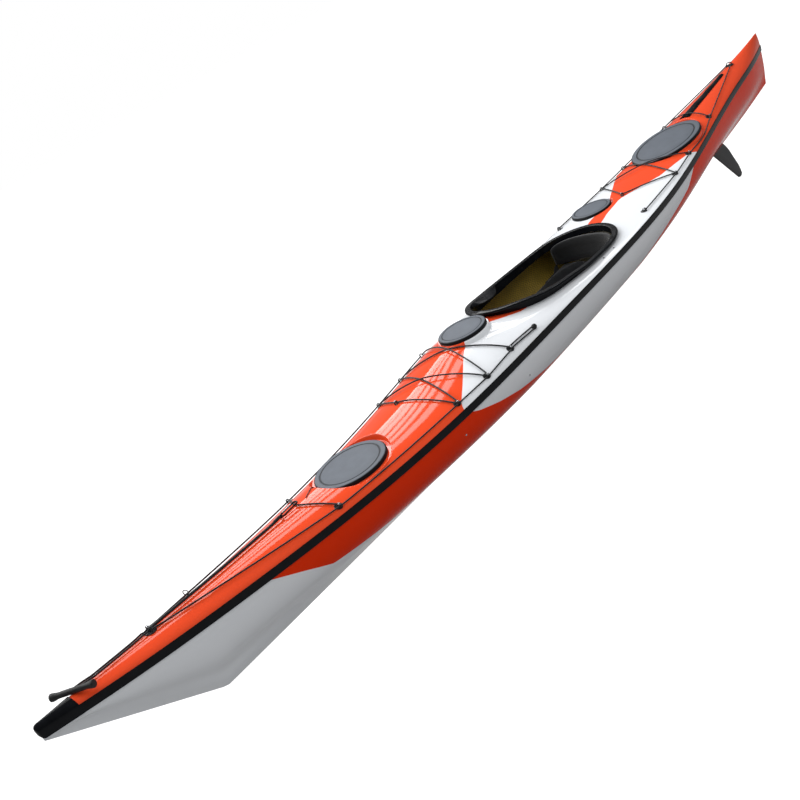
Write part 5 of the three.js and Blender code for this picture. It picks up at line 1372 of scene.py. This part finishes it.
def bail_sections(inner, outer, height):
    """Sections of the bail from its inner foot over the crown to its outer foot."""
    middle = (inner + outer) / 2
    span = (outer - inner) / 2
    wall = BAIL_WALL / 2
    sections = []
    for angle in np.linspace(0, math.pi, BAIL_STEPS + 1):
        across = middle - span * squarish(math.cos(angle))
        up = (height - wall) * squarish(math.sin(angle))
        depth = (BAIL_DEPTH + (BAIL_CROWN_DEPTH - BAIL_DEPTH) * math.sin(angle) ** 2) / 2
        leaning = np.array([0, -math.cos(angle), math.sin(angle)])
        sections.append([
            np.array([depth * b, across, up]) + leaning * wall * a
            for a, b in ((1, 1), (1, -1), (-1, -1), (-1, 1))
        ])
    return np.array(sections)


def bedded_bail(name, point, normal, radius, inner, outer, height, nodes=(), across=False):
    """A base with its bail and screw, bedded on the deck; across, the bail stands fore and aft."""
    base_profile = [(0, -BASE_SINK), (radius, -BASE_SINK)]
    base_profile += [(radius - inset, FITTING_BASE * share) for inset, share in BASE_EDGE]
    base_profile += [(0, FITTING_BASE * BASE_CROWN_SHARE)]
    base_points, base_faces = lathe_form(base_profile, BASE_SIDES)
    bail = rounded(bail_sections(inner, outer, height), BAIL_ROUND)
    if across:
        bail = bail[:, :, [1, 0, 2]] * [1, -1, 1]
    points = np.concatenate([base_points, bail.reshape(-1, 3)])
    faces = base_faces + tube_faces(*bail.shape[:2], start=len(base_points))
    fitting = new_piece(f"{name}_bail", seated(points, point, normal), faces, moulded_nylon, nodes, "rubber")
    faces_out(fitting)
    crown = Vector((0, 0 if across else (inner + outer) / 2, height))
    turn = Vector((0, 0, 1)).rotation_difference(normal)
    screw(f"{name}_screw", point + turn @ crown, normal, BAIL_SCREW_RADIUS, BAIL_SCREW_RISE)


for name, (point, normal) in seats.items():
    is_eye = name.endswith("_eye")
    outward = -1 if FITTING_SHARES[name][1] < 0 else 1
    inner = -EYE_BAIL if is_eye else -HOOK_SIDE
    outer = EYE_BAIL if is_eye else LINE_SIDE + LINE_RADIUS + BAIL_CLEAR + BAIL_WALL / 2
    bedded_bail(
        name, point, normal, EYE_RADIUS if is_eye else FITTING_RADIUS, outward * inner, outward * outer,
        EYE_HEIGHT if is_eye else FITTING_HEIGHT, [name],
    )
for name, (share, side_share) in CENTRE_CLIPS.items():
    point, normal = deck_seat(share, side_share * beam_at(share))
    bedded_bail(
        f"centre_clip_{name}", point, normal, CENTRE_CLIP_RADIUS, -CENTRE_CLIP_BAIL, CENTRE_CLIP_BAIL,
        CENTRE_CLIP_HEIGHT, across=True,
    )

# Cords: braided polyester deck lines along both sides, and rubber-cored bungees over the fore
# and aft decks. The braid is black and worn a little paler in places; each strand's crown is
# painted paler as a painted highlight, with painted shade between the strands.
BUNGEE_RADIUS = 0.003
PAINTER_RADIUS = 0.005
CORD_LIFT = 0.0063
CORD_STEP = 0.02
LEAST_PIECES = 4
CROSS_LIFT = 0.0075
END_SIDE = 0.0065
END_INSET = 0.004
EYE_SPREAD = 0.0095
EYE_INSET = 0.003
EYE_REST = 0.0025
TURN_RADIUS = 0.0057
TURN_STEP = 0.26
CORD_SIDES = 14
BRAID_PITCH_MM = 5.5
BRAID_STRANDS = 4
BRAID_WEAR_MM = 25
PARALLEL = 0.1
TUBE_SIDES = 20
UP = (0.0, 0.0, 1.0)
PORT = (0.0, 1.0, 0.0)
NEARLY_UP = (0.03, 0.02, 1.0)
STRIP_RISE = 0.007


def braid(name, dark_code, pale_code):
    """A braided sheath: strands wind both ways round the cord and leave rows of small diamonds,
    with a painted highlight on each strand's crown and painted shade between the strands.
    """
    material, tree, where = new_finish(name)
    along, around = (
        add_node(tree, "ShaderNodeAttribute", settings={"attribute_name": place}).outputs["Fac"]
        for place in ("along", "around")
    )
    windings = []
    for way in (1, -1):
        pitches = {0: along, 1: 2 * math.pi * 1000 / BRAID_PITCH_MM}
        turn = add_node(tree, "ShaderNodeMath", pitches, {"operation": "MULTIPLY"})
        strands = {0: around, 1: way * BRAID_STRANDS * 2 * math.pi, 2: turn}
        angle = add_node(tree, "ShaderNodeMath", strands, {"operation": "MULTIPLY_ADD"})
        windings.append(add_node(tree, "ShaderNodeMath", {0: angle}, {"operation": "SINE"}))
    diamonds = add_node(tree, "ShaderNodeMath", dict(enumerate(windings)), {"operation": "MAXIMUM"})
    wear = add_node(tree, "ShaderNodeTexNoise", {"Vector": where}, Scale=1000 / BRAID_WEAR_MM, Detail=3.0)
    # Painted highlight: the strands' crowns are painted paler, and the gaps between them darker as painted
    # shade
    painted_strand_glint = add_node(tree, "ShaderNodeMapRange", {"Value": diamonds}, To_Min=0.2, To_Max=1.0)
    tone = add_node(tree, "ShaderNodeMath", {0: wear, 1: painted_strand_glint}, {"operation": "MULTIPLY"})
    surface(
        tree, tone, (linear(dark_code), linear(pale_code)), wear, (0.5, 0.75), diamonds,
        depth_mm=0.5, strength=0.7, IOR=1.53, Sheen_Weight=0.2, Sheen_Roughness=0.35,
    )
    return material


polyester_braid = braid("black_polyester_braid", "#0c0d0f", "#34373c")


def smoothed(route, passes=2):
    """Takes the kinks out of a route and keeps its ends."""
    for _ in range(passes):
        middle = (route[:-2] + 2 * route[1:-1] + route[2:]) / 4
        route = np.concatenate([route[:1], middle, route[-1:]])
    return route


def tube_sections(route, radii, sides=TUBE_SIDES, up=NEARLY_UP):
    """Round sections along a route, with as little twist as it allows."""
    route = np.asarray(route, float)
    ahead = unit(np.gradient(route, axis=0))
    angles = np.arange(sides) * 2 * math.pi / sides
    sections = []
    out = np.cross(ahead[0], up)
    for spot, way, radius in zip(route, ahead, np.broadcast_to(radii, len(route))):
        out = unit(out - way * np.dot(out, way))
        other = np.cross(way, out)
        sections.append(spot + radius * (np.cos(angles)[:, None] * out + np.sin(angles)[:, None] * other))
    return np.array(sections)


def cord(name, route, radius, nodes, slot="cord", body="boat", closed=False):
    """A round cord along a route, with the places along and around it that its braid follows."""
    route = np.asarray(route, float)
    if closed:
        route = np.concatenate([route, route[:1]])
    is_upright = np.linalg.norm(np.cross(unit(route[1] - route[0]), UP)) < PARALLEL
    sections = tube_sections(route, radius, CORD_SIDES, PORT if is_upright else UP)
    faces = tube_faces(len(route), CORD_SIDES)
    piece = new_piece(
        name, sections.reshape(-1, 3), faces, polyester_braid, nodes, slot, body, sharp=SOFT_ANGLE,
    )
    length = np.concatenate([[0], np.cumsum(np.linalg.norm(np.diff(route, axis=0), axis=1))])
    places = {"along": [], "around": []}
    for i in range(len(route) - 1):
        for j in range(CORD_SIDES):
            low, high = j / CORD_SIDES, (j + 1) / CORD_SIDES
            places["along"] += [length[i], length[i], length[i + 1], length[i + 1]]
            places["around"] += [low, high, high, low]
    for key, values in places.items():
        attribute = piece.data.attributes.new(key, "FLOAT", "CORNER")
        attribute.data.foreach_set("value", np.array(values + [0.0] * (2 * CORD_SIDES), np.float32))
    return piece


def stop(name, outboard=0.0, ahead=0.0, raised=0.0, rest=0.0, turn=0.0):
    """A cord's stop at a fitting, outboard and ahead of its middle."""
    share, side_share = FITTING_SHARES[name]
    out = (-1 if side_share < 0 else 1) * outboard * seats[name][1].z
    y = side_share * beam_at(share) + out
    return {"share": share + ahead / HULL_LENGTH, "y": y, "raised": raised, "rest": rest, "turn": turn}


def hook(name, raised=0.0):
    """A bungee's stop at a fitting, whose bail it turns round."""
    return stop(name, -HOOK_SIDE, 0, raised, turn=TURN_RADIUS)


def via(share, side_share, raised=0.0, rest=0.0, turn=0.0):
    """A cord's stop on the bare deck."""
    return {"share": share, "y": side_share * beam_at(share), "raised": raised, "rest": rest, "turn": turn}


def turn_at(spot, radius, arriving, leaving):
    """Points round a stop, from one heading to the next, with the cord outside the turn."""
    if not radius:
        return [spot]
    side = math.copysign(1, arriving[0] * leaving[1] - arriving[1] * leaving[0])
    sweep = math.acos(np.clip(np.dot(arriving, leaving), -1, 1))
    start = math.atan2(arriving[1], arriving[0]) - side * math.pi / 2
    parts = max(1, math.ceil(sweep / TURN_STEP))
    angles = [start + side * sweep * k / parts for k in range(parts + 1)]
    return [spot + radius * np.array([math.cos(angle), math.sin(angle)]) for angle in angles]


def deck_route(stops, lift=CORD_LIFT):
    """Route over the deck from stop to stop, with the cord's middle one lift above the deck."""
    plan = [np.array([along_at(one["share"]), one["y"]]) for one in stops]
    headings = [unit(b - a) for a, b in zip(plan[:-1], plan[1:])]
    route = []

    def lay(spot, raised):
        point, normal = deck_seat(share_of(spot[0]), spot[1])
        route.append(tuple(point + normal * (lift + raised)))

    leaves = plan[0]
    lay(leaves, stops[0]["rest"])
    for i in range(1, len(plan)):
        one = stops[i]
        is_last = i == len(plan) - 1
        arrives = [plan[i]] if is_last else turn_at(plan[i], one["turn"], headings[i - 1], headings[i])
        gap = arrives[0] - leaves
        pieces = max(LEAST_PIECES, round(np.linalg.norm(gap) / CORD_STEP))
        for k in range(1, pieces):
            lay(leaves + gap * k / pieces, one["raised"] * math.sin(math.pi * k / pieces))
        for spot in arrives:
            lay(spot, one["rest"])
        leaves = arrives[-1]
    return smoothed(np.array(route))


# Where the aft lines pass the day hatch and the shoulder of the stern, and where the middles of
# the last two bungees cross the ridge
DAY_HATCH_PASS = (share_of(HATCHES["day"]["at"][0]), -0.945)
SHOULDER_PASSES = ((0.25, 0.945), (0.233, 0.962))
STRIP_CROSSING = 0.1925
STRIP_CLEAR = 0.0003
BOW_CROSSING = 0.8012
for side, sign in (("port", 1), ("starboard", -1)):
    cord(f"deck_line_fore_{side}_braid", deck_route([
        stop("bow_eye", sign * EYE_SPREAD, -EYE_INSET, rest=EYE_REST),
        stop(f"fitting_bow_{side}", LINE_SIDE),
        stop(f"fitting_fore_{side}", LINE_SIDE),
        stop(f"fitting_knee_{side}", LINE_SIDE),
        stop(f"fitting_cockpit_{side}", LINE_SIDE, END_INSET),
    ]), LINE_RADIUS, [f"deck_line_fore_{side}"])
    cord(f"deck_line_aft_{side}_braid", deck_route([
        stop(f"fitting_seat_{side}", LINE_SIDE, END_INSET),
        *([] if side == "port" else [via(*DAY_HATCH_PASS)]),
        stop(f"fitting_day_{side}", LINE_SIDE),
        stop(f"fitting_aft_{side}", LINE_SIDE),
        *[via(share, sign * side_share) for share, side_share in SHOULDER_PASSES],
        stop(f"fitting_stern_{side}", LINE_SIDE),
        stop("stern_eye", sign * EYE_SPREAD, EYE_INSET, rest=EYE_REST),
    ]), LINE_RADIUS, [f"deck_line_aft_{side}"])
cord("bungee_fore_braid", deck_route([
    stop("fitting_cockpit_port", -END_SIDE),
    hook("fitting_knee_starboard"),
    hook("fitting_fore_port"),
    via(*CENTRE_CLIPS["fore"]),
    hook("fitting_fore_starboard"),
    hook("fitting_knee_port", CROSS_LIFT),
    stop("fitting_cockpit_starboard", -END_SIDE, 0, CROSS_LIFT),
]), BUNGEE_RADIUS, ["bungee_fore"])
cord("bungee_aft_braid", deck_route([
    stop("fitting_aft_starboard", -END_SIDE),
    hook("fitting_day_port"),
    via(*CENTRE_CLIPS["aft"]),
    hook("fitting_day_starboard"),
    stop("fitting_aft_port", -END_SIDE, 0, CROSS_LIFT),
]), BUNGEE_RADIUS, ["bungee_aft"])
cord("bungee_stern_braid", deck_route([
    stop("fitting_stern_port", -END_SIDE),
    via(STRIP_CROSSING, 0, STRIP_RISE, STRIP_RISE + STRIP_CLEAR),
    stop("fitting_stern_starboard", -END_SIDE, 0, STRIP_RISE),
]), BUNGEE_RADIUS, ["bungee_stern"])
cord("bungee_bow_braid", deck_route([
    stop("fitting_bow_starboard", -END_SIDE),
    via(BOW_CROSSING, 0),
    stop("fitting_bow_port", -END_SIDE),
]), BUNGEE_RADIUS, ["bungee_bow"])

# Paddle park: a doubled bungee from the cockpit fitting to the rubber ball knotted on its end,
# which hooks over a paddle's shaft.
PARK_SHARES = (0.5775, 0.905)
BEAD_RADIUS = 0.011
BEAD_LIFT_SHARE = 0.72
BEAD_FLAT_SHARE = 0.7
BEAD_TURN = (-0.75, 1.4)
BEAD_STEPS = 24
BEAD_SIDES = 40
WAIST_HALF_TURN = 0.12
WAIST_SHARE = 0.93
park = via(*PARK_SHARES, turn=TURN_RADIUS)
cord("paddle_park_braid", deck_route([
    stop("fitting_cockpit_port", TURN_RADIUS, -END_INSET),
    park,
    stop("fitting_cockpit_port", -TURN_RADIUS, -END_INSET),
]), BUNGEE_RADIUS, ["paddle_park"])
bead_profile = [(0, -BEAD_RADIUS * BEAD_FLAT_SHARE)]
for angle in np.linspace(*BEAD_TURN, BEAD_STEPS):
    waist = WAIST_SHARE if abs(angle) < WAIST_HALF_TURN else 1
    bead_profile.append((BEAD_RADIUS * math.cos(angle) * waist, BEAD_RADIUS * math.sin(angle)))
bead_profile += [(0, BEAD_RADIUS)]
bead_points, bead_faces = lathe_form(bead_profile, BEAD_SIDES)
bead_point, bead_normal = deck_seat(park["share"], park["y"])
bead_middle = bead_point + bead_normal * (BEAD_RADIUS * BEAD_LIFT_SHARE)
new_piece(
    "paddle_park_ball", seated(bead_points, bead_middle, bead_normal), bead_faces, rim_rubber,
    slot="rubber", sharp=SOFT_ANGLE,
)

# Painter: a thick braided towing line along the ridge from its snap clip to the bow eye. The clip
# is a black coated ring with a steel gate. A smaller eye joins the line to it, under a whipping.
CLIP_LENGTH = 0.082
CLIP_WIDTH = 0.026
CLIP_WALL = 0.006
CLIP_LIFT = 0.0092
CLIP_SHARE = 0.806
CLIP_CLEAR = 0.0015
CLIP_BEND_STEPS = 17
GATE_STEPS = 16
GATE_START_SHARE = 0.75
GATE_STEP_SHARE = 0.1
GATE_RADIUS = 0.0036
GATE_END_RADIUS = 0.0031
EYE_RING_RADIUS = 0.0052
EYE_CORD_RADIUS = 0.002
EYE_STEPS = 29
WHIPPING_LENGTH = 0.03
WHIPPING_TURNS = 16
WHIPPING_RISE = 0.0007
WHIPPING_RIB = 0.0003
WHIPPING_END = 0.001
painter_lift = CORD_LIFT - LINE_RADIUS + PAINTER_RADIUS
clip_x = float(along_at(CLIP_SHARE))
clip_z = float(ridge_at(CLIP_SHARE)) + CLIP_LIFT + KEEL_Z + CLIP_WALL / 2
painter_start = {
    "share": CLIP_SHARE + (CLIP_LENGTH / 2 + CLIP_CLEAR) / HULL_LENGTH, "y": 0, "raised": 0, "turn": 0,
    "rest": CLIP_LIFT + CLIP_WALL / 2 - painter_lift,
}
painter_route = deck_route([
    painter_start,
    stop("bow_eye", 0, -EYE_INSET, rest=FITTING_BASE + PAINTER_RADIUS + BAND_GAP - painter_lift),
], painter_lift)
cord("painter_braid", painter_route, PAINTER_RADIUS, ["painter"])
straight = (CLIP_LENGTH - CLIP_WIDTH) / 2
bend = CLIP_WIDTH / 2 - CLIP_WALL / 2
ring_angles = np.linspace(-math.pi / 2, math.pi / 2, CLIP_BEND_STEPS)
clip_route = [(clip_x + straight + bend * math.cos(a), bend * math.sin(a), clip_z) for a in ring_angles]
clip_route += [(clip_x - straight - bend * math.cos(a), -bend * math.sin(a), clip_z) for a in ring_angles]
looped = np.array(clip_route + clip_route[:2])
swept(
    "snap_clip_ring", tube_sections(looped, CLIP_WALL / 2)[1:-1], black_gelcoat, closed=True,
    nodes=["snap_clip"], slot="black_gloss",
)
gate_start = clip_x - straight * GATE_START_SHARE
gate_route = [(gate_start + i * straight * GATE_STEP_SHARE, -bend, clip_z) for i in range(GATE_STEPS)]
gate_radii = np.full(GATE_STEPS, GATE_RADIUS)
gate_radii[[0, -1]] = GATE_END_RADIUS
swept("snap_clip_gate", tube_sections(gate_route, gate_radii), stainless_steel, slot="metal")
eye_angles = np.linspace(0, 2 * math.pi, EYE_STEPS)[:-1]
eye_middle = np.array([clip_x + straight + bend, 0, clip_z])
eye_ring = [eye_middle + EYE_RING_RADIUS * np.array([math.cos(a), 0, math.sin(a)]) for a in eye_angles]
cord("painter_eye_braid", eye_ring, EYE_CORD_RADIUS, [], closed=True)
whip_way = unit(painter_route[2] - painter_route[0])
whip_route = [painter_route[0] + whip_way * d for d in np.linspace(0.0, WHIPPING_LENGTH, WHIPPING_TURNS)]
whip_ribs = WHIPPING_RIB * np.cos(np.arange(WHIPPING_TURNS) * math.pi)
whip_radii = PAINTER_RADIUS + WHIPPING_RISE + whip_ribs
whip_radii[[0, -1]] = PAINTER_RADIUS - WHIPPING_END
swept("painter_whipping", tube_sections(whip_route, whip_radii), rim_rubber, slot="rubber")

# Ridge eye: a ring of stiff wire, coated in black nylon, that stands on the ridge of the foredeck.
# The painter is run through it, and rests in its lower half.
RING_X = 1.987
RING_RADIUS = 0.0088
RING_WIRE = 0.0015
RING_LIFT = 0.003
RING_FACING = (-0.5, 0.87, 0)
RING_STEPS = 33
RING_SIDES = 12
ring_z = float(np.interp(-RING_X, -painter_route[:, 0], painter_route[:, 2])) + RING_LIFT
ring_way = np.array(RING_FACING)
ring_route = [
    np.array([RING_X, 0, ring_z]) + RING_RADIUS * (math.cos(a) * ring_way + np.array([0, 0, math.sin(a)]))
    for a in np.linspace(0, 2 * math.pi, RING_STEPS)[:-1]
]
ring_looped = np.array(ring_route[-1:] + ring_route + ring_route[:1])
swept(
    "ridge_eye_ring", tube_sections(ring_looped, RING_WIRE, RING_SIDES)[1:-1], moulded_nylon, closed=True,
    slot="rubber",
)

# Cover tether: a thin braided polyester cord that keeps the front cover from being lost. It leaves
# the cover's skirt and lies on the deck ahead of it.
TETHER_RADIUS = 0.0016
TETHER_PLACES = [(1.402, -0.037), (1.43, -0.024), (1.452, -0.008), (1.4725, 0.004)]
TETHER_START = (1.3905, -0.037, HATCHES["bow"]["at"][2] + 0.0085 + KEEL_Z)
TETHER_LIFT = 0.003
tether_route = deck_route([
    via(float(share_of(x)), float(y / beam_at(share_of(x)))) for x, y in TETHER_PLACES
], TETHER_LIFT)
cord(
    "bow_cover_tether_braid", smoothed(np.concatenate([[TETHER_START], tether_route])), TETHER_RADIUS, [],
    body="bow_cover",
)

# Bow toggle: a waisted rubber grip across the deck on a loop of cord from the bow eye. It is
# what the boat is carried by, and it swings forward over the bow.
TOGGLE_LENGTH = 0.147
TOGGLE_WAIST = 0.009
TOGGLE_SHARE = 0.9755
TOGGLE_YAW = 0.62
TOGGLE_CLIMB = 0.06
TOGGLE_CLEAR = 0.0006
BIGHT_REACH = 0.019
GRIP_PLACES = [0, 0.0004, 0.0016, 0.0036, 0.008, 0.0125, 0.017, 0.0215, 0.026, 0.034]
GRIP_RADII = [0.0098, 0.0112, 0.012, 0.0122, 0.0119, 0.0113, 0.0104, 0.0096, 0.0091, 0.009]
GRIP_RIBS_FROM = 0.038
GRIP_RIB_PITCH = 0.004
GRIP_RIB_RISE = 0.0005
GRIP_SIDES = 32
toggle_x = float(along_at(TOGGLE_SHARE))
toggle_z = float(ridge_at(TOGGLE_SHARE)) + TOGGLE_WAIST + TOGGLE_CLEAR + KEEL_Z
eye_front = along_at(FITTING_SHARES["bow_eye"][0]) + EYE_RADIUS + LINE_RADIUS + TOGGLE_CLEAR
loop_start = share_of(eye_front)


def loop_route_to(share, rest):
    """Route of a bight of cord from beside the bow eye round a place on the ridge and back."""
    legs = [
        {"share": loop_start, "y": side * TURN_RADIUS, "rest": EYE_REST, "raised": 0, "turn": 0}
        for side in (1, -1)
    ]
    round_turn = {"share": share, "y": 0, "rest": rest, "raised": 0, "turn": TURN_RADIUS}
    return deck_route([legs[0], round_turn, legs[1]])


loop_route = loop_route_to(TOGGLE_SHARE - TURN_RADIUS / HULL_LENGTH, 0)
loop_end = toggle_x - TURN_RADIUS
climb_run = loop_end - toggle_x + TOGGLE_CLIMB
climb = np.clip((loop_route[:, 0] - (toggle_x - TOGGLE_CLIMB)) / climb_run, 0, 1)
loop_route[:, 2] = loop_route[:, 2] * (1 - climb) + toggle_z * climb
cord("toggle_loop_braid", loop_route, LINE_RADIUS, ["toggle_cord"], body="toggle")
bight_route = loop_route_to(share_of(eye_front - BIGHT_REACH), EYE_REST)
cord("toggle_bight_braid", bight_route, LINE_RADIUS, [])
half = TOGGLE_LENGTH / 2
axis = np.array([-math.sin(TOGGLE_YAW), math.cos(TOGGLE_YAW), 0])
grip_run = [(place - half, radius) for place, radius in zip(GRIP_PLACES, GRIP_RADII)]
for i, place in enumerate(np.arange(GRIP_RIBS_FROM, half, GRIP_RIB_PITCH)):
    grip_run.append((-half + place, TOGGLE_WAIST + GRIP_RIB_RISE * (i % 2)))
grip_run += [(-place, radius) for place, radius in grip_run[::-1] if place < -MERGE_WITHIN]
grip_spots = [np.array([toggle_x, 0, toggle_z]) + axis * place for place, _ in grip_run]
swept(
    "bow_toggle_grip", tube_sections(grip_spots, [radius for _, radius in grip_run], GRIP_SIDES),
    rim_rubber, nodes=["bow_toggle"], slot="rubber", body="toggle", sharp=SOFT_ANGLE,
)

# Stern strip: a crowned black moulding along the middle line over the skeg case, with three low
# swells. With it are the last of the deck's hardware, the stainless bolts that hold the seat.
STRIP_SHARES = (0.101, 0.1975)
STRIP_WIDTH = 0.056
STRIP_TAPER_SHARE = 0.5
STRIP_EDGE = 0.0023
STRIP_CROWN = 0.0056
STRIP_CROWN_SHARE = 0.6
STRIP_SINK = 0.004
STRIP_ROWS = 90
STRIP_SWELLS = 3
STRIP_SWELL_RISE = 0.0016
STRIP_COLUMNS = 25
SEAT_BOLT_PLACES = ((-0.26, 0.238), (-0.17, 0.239))
strip_sections = []
for along in np.linspace(0, 1, STRIP_ROWS):
    share = STRIP_SHARES[0] + (STRIP_SHARES[1] - STRIP_SHARES[0]) * along
    half_width = STRIP_WIDTH / 2 * (STRIP_TAPER_SHARE + (1 - STRIP_TAPER_SHARE) * along)
    ridge = float(ridge_at(share))
    edge_height = float(deck_height(share, half_width))
    swell = STRIP_SWELL_RISE * math.cos(2 * math.pi * STRIP_SWELLS * along) - STRIP_SWELL_RISE
    crown = fair([-1, -STRIP_CROWN_SHARE, 0, STRIP_CROWN_SHARE, 1], [
        edge_height + STRIP_EDGE, ridge + STRIP_CROWN + swell, ridge + STRIP_RISE + swell,
        ridge + STRIP_CROWN + swell, edge_height + STRIP_EDGE,
    ])
    across = np.linspace(1, -1, STRIP_COLUMNS)
    heights = crown(across)
    spots = [(float(along_at(share)), half_width * v, z + KEEL_Z) for v, z in zip(across, heights)]
    foot = edge_height - STRIP_SINK + KEEL_Z
    strip_sections.append([(spots[0][0], half_width, foot), *spots, (spots[0][0], -half_width, foot)])
swept(
    "stern_strip_moulding", np.array(strip_sections), black_gelcoat, nodes=["stern_deck_strip"],
    slot="black_gloss", sharp=50,
)
for side, sign in (("port", 1), ("starboard", -1)):
    for i, (x, y) in enumerate(SEAT_BOLT_PLACES):
        screw(f"seat_bolt_{side}_{i + 1}", *deck_seat(float(share_of(x)), sign * y))

# Studio: a pale floor and a pale sky, which the camera sees as white and reflections see dimmed.
# The boat is lit by that sky and by long narrow lamps, whose streaks run down the gelcoat.
SKY_STRENGTH = 0.52
ROOF_STRENGTH = 0.12
REFLECTED_SHARE = 0.2
FLOOR_HALF = 60
FLOOR_CODE = "#909090"
FLOOR_PALE = 0.92
LAMP_HEIGHT = 3.2
LAMP_LENGTH = 10
LAMP_X = 0.3
# Each lamp's place across, its width and its glow
LAMPS = (
    (-4.6, 0.9, 4.6), (-3.45, 0.3, 5.0), (-2.85, 0.35, 5.0), (-2.3, 0.2, 5.0), (-1.9, 0.2, 5.0),
    (-1.4, 0.3, 4.0),
)
# The top light's length, width, power and place across, and the height that all lamps face
TOP_LIGHT = (6.0, 3.0, 50, 1.0)
LAMP_AIM_HEIGHT = 0.5
ROOF_EDGE = (0.1, 0.3)
WHITE = (1, 1, 1, 1)


def seen_by_eye(tree):
    """What the eye sees straight or through glass, and what it sees in a reflection."""
    rays = add_node(tree, "ShaderNodeLightPath")
    sights = {0: rays.outputs["Is Camera Ray"], 1: rays.outputs["Is Transmission Ray"]}
    straight = add_node(tree, "ShaderNodeMath", sights, {"operation": "MAXIMUM"})
    return straight, rays.outputs["Is Glossy Ray"]


floor_mesh = bpy.data.meshes.new("floor")
floor_corners = [(-1, -1), (1, -1), (1, 1), (-1, 1)]
floor_mesh.from_pydata([(a * FLOOR_HALF, b * FLOOR_HALF, 0) for a, b in floor_corners], [], [(0, 1, 2, 3)])
floor = bpy.data.objects.new("floor", floor_mesh)
bpy.context.scene.collection.objects.link(floor)
floor_paint = bpy.data.materials.new("pale_studio_floor")
floor_paint.use_nodes = True
floor_tree = floor_paint.node_tree
floor_tree.nodes.clear()
straight, reflected = seen_by_eye(floor_tree)
grey = add_node(floor_tree, "ShaderNodeBsdfDiffuse", Color=linear(FLOOR_CODE))
pale_level = add_node(
    floor_tree, "ShaderNodeMapRange", {"Value": reflected}, To_Min=FLOOR_PALE,
    To_Max=FLOOR_PALE * REFLECTED_SHARE,
)
pale = add_node(floor_tree, "ShaderNodeEmission", {"Strength": pale_level}, Color=WHITE)
both = add_node(floor_tree, "ShaderNodeAddShader", {0: grey, 1: pale})
either = add_node(floor_tree, "ShaderNodeMath", {0: straight, 1: reflected}, {"operation": "MAXIMUM"})
chosen = add_node(floor_tree, "ShaderNodeMixShader", {"Fac": either, 1: grey, 2: both})
add_node(floor_tree, "ShaderNodeOutputMaterial", {"Surface": chosen})
floor_mesh.materials.append(floor_paint)

sky = bpy.data.worlds.new("studio_sky")
bpy.context.scene.world = sky
sky.use_nodes = True
sky_tree = sky.node_tree
sky_tree.nodes.clear()
# The roof over the lamps is dark, and only reflections see it; all round, the sky is white.
direction = add_node(sky_tree, "ShaderNodeTexCoord").outputs["Generated"]
upward = add_node(sky_tree, "ShaderNodeSeparateXYZ", {"Vector": direction}).outputs["Z"]
roof = add_node(
    sky_tree, "ShaderNodeMapRange", {"Value": upward}, From_Min=ROOF_EDGE[0], From_Max=ROOF_EDGE[1],
    To_Min=REFLECTED_SHARE, To_Max=ROOF_STRENGTH,
)
straight, reflected = seen_by_eye(sky_tree)
plain_level = add_node(
    sky_tree, "ShaderNodeMapRange", {"Value": straight}, To_Min=SKY_STRENGTH, To_Max=1.0,
)
sky_level = add_node(
    sky_tree, "ShaderNodeMapRange", {"Value": reflected, "To Min": plain_level, "To Max": roof},
)
sky_light = add_node(sky_tree, "ShaderNodeBackground", {"Strength": sky_level}, Color=WHITE)
add_node(sky_tree, "ShaderNodeOutputWorld", {"Surface": sky_light})


def hang_lamp(name, length, width, power, y):
    """A flat lamp under the roof, turned to face the boat."""
    lamp_data = bpy.data.lights.new(name, "AREA")
    lamp_data.shape = "RECTANGLE"
    lamp_data.size = length
    lamp_data.size_y = width
    lamp_data.energy = power
    lamp = bpy.data.objects.new(name, lamp_data)
    bpy.context.scene.collection.objects.link(lamp)
    lamp.location = (LAMP_X, y, LAMP_HEIGHT)
    lamp.rotation_euler = (-math.atan2(y, LAMP_HEIGHT - LAMP_AIM_HEIGHT), 0, 0)
    return lamp


for i, (y, width, glow) in enumerate(LAMPS):
    hang_lamp(f"strip_lamp_{i + 1}", LAMP_LENGTH, width, glow * math.pi * LAMP_LENGTH * width, y)
top_light = hang_lamp("top_light", *TOP_LIGHT)
top_light.visible_glossy = False
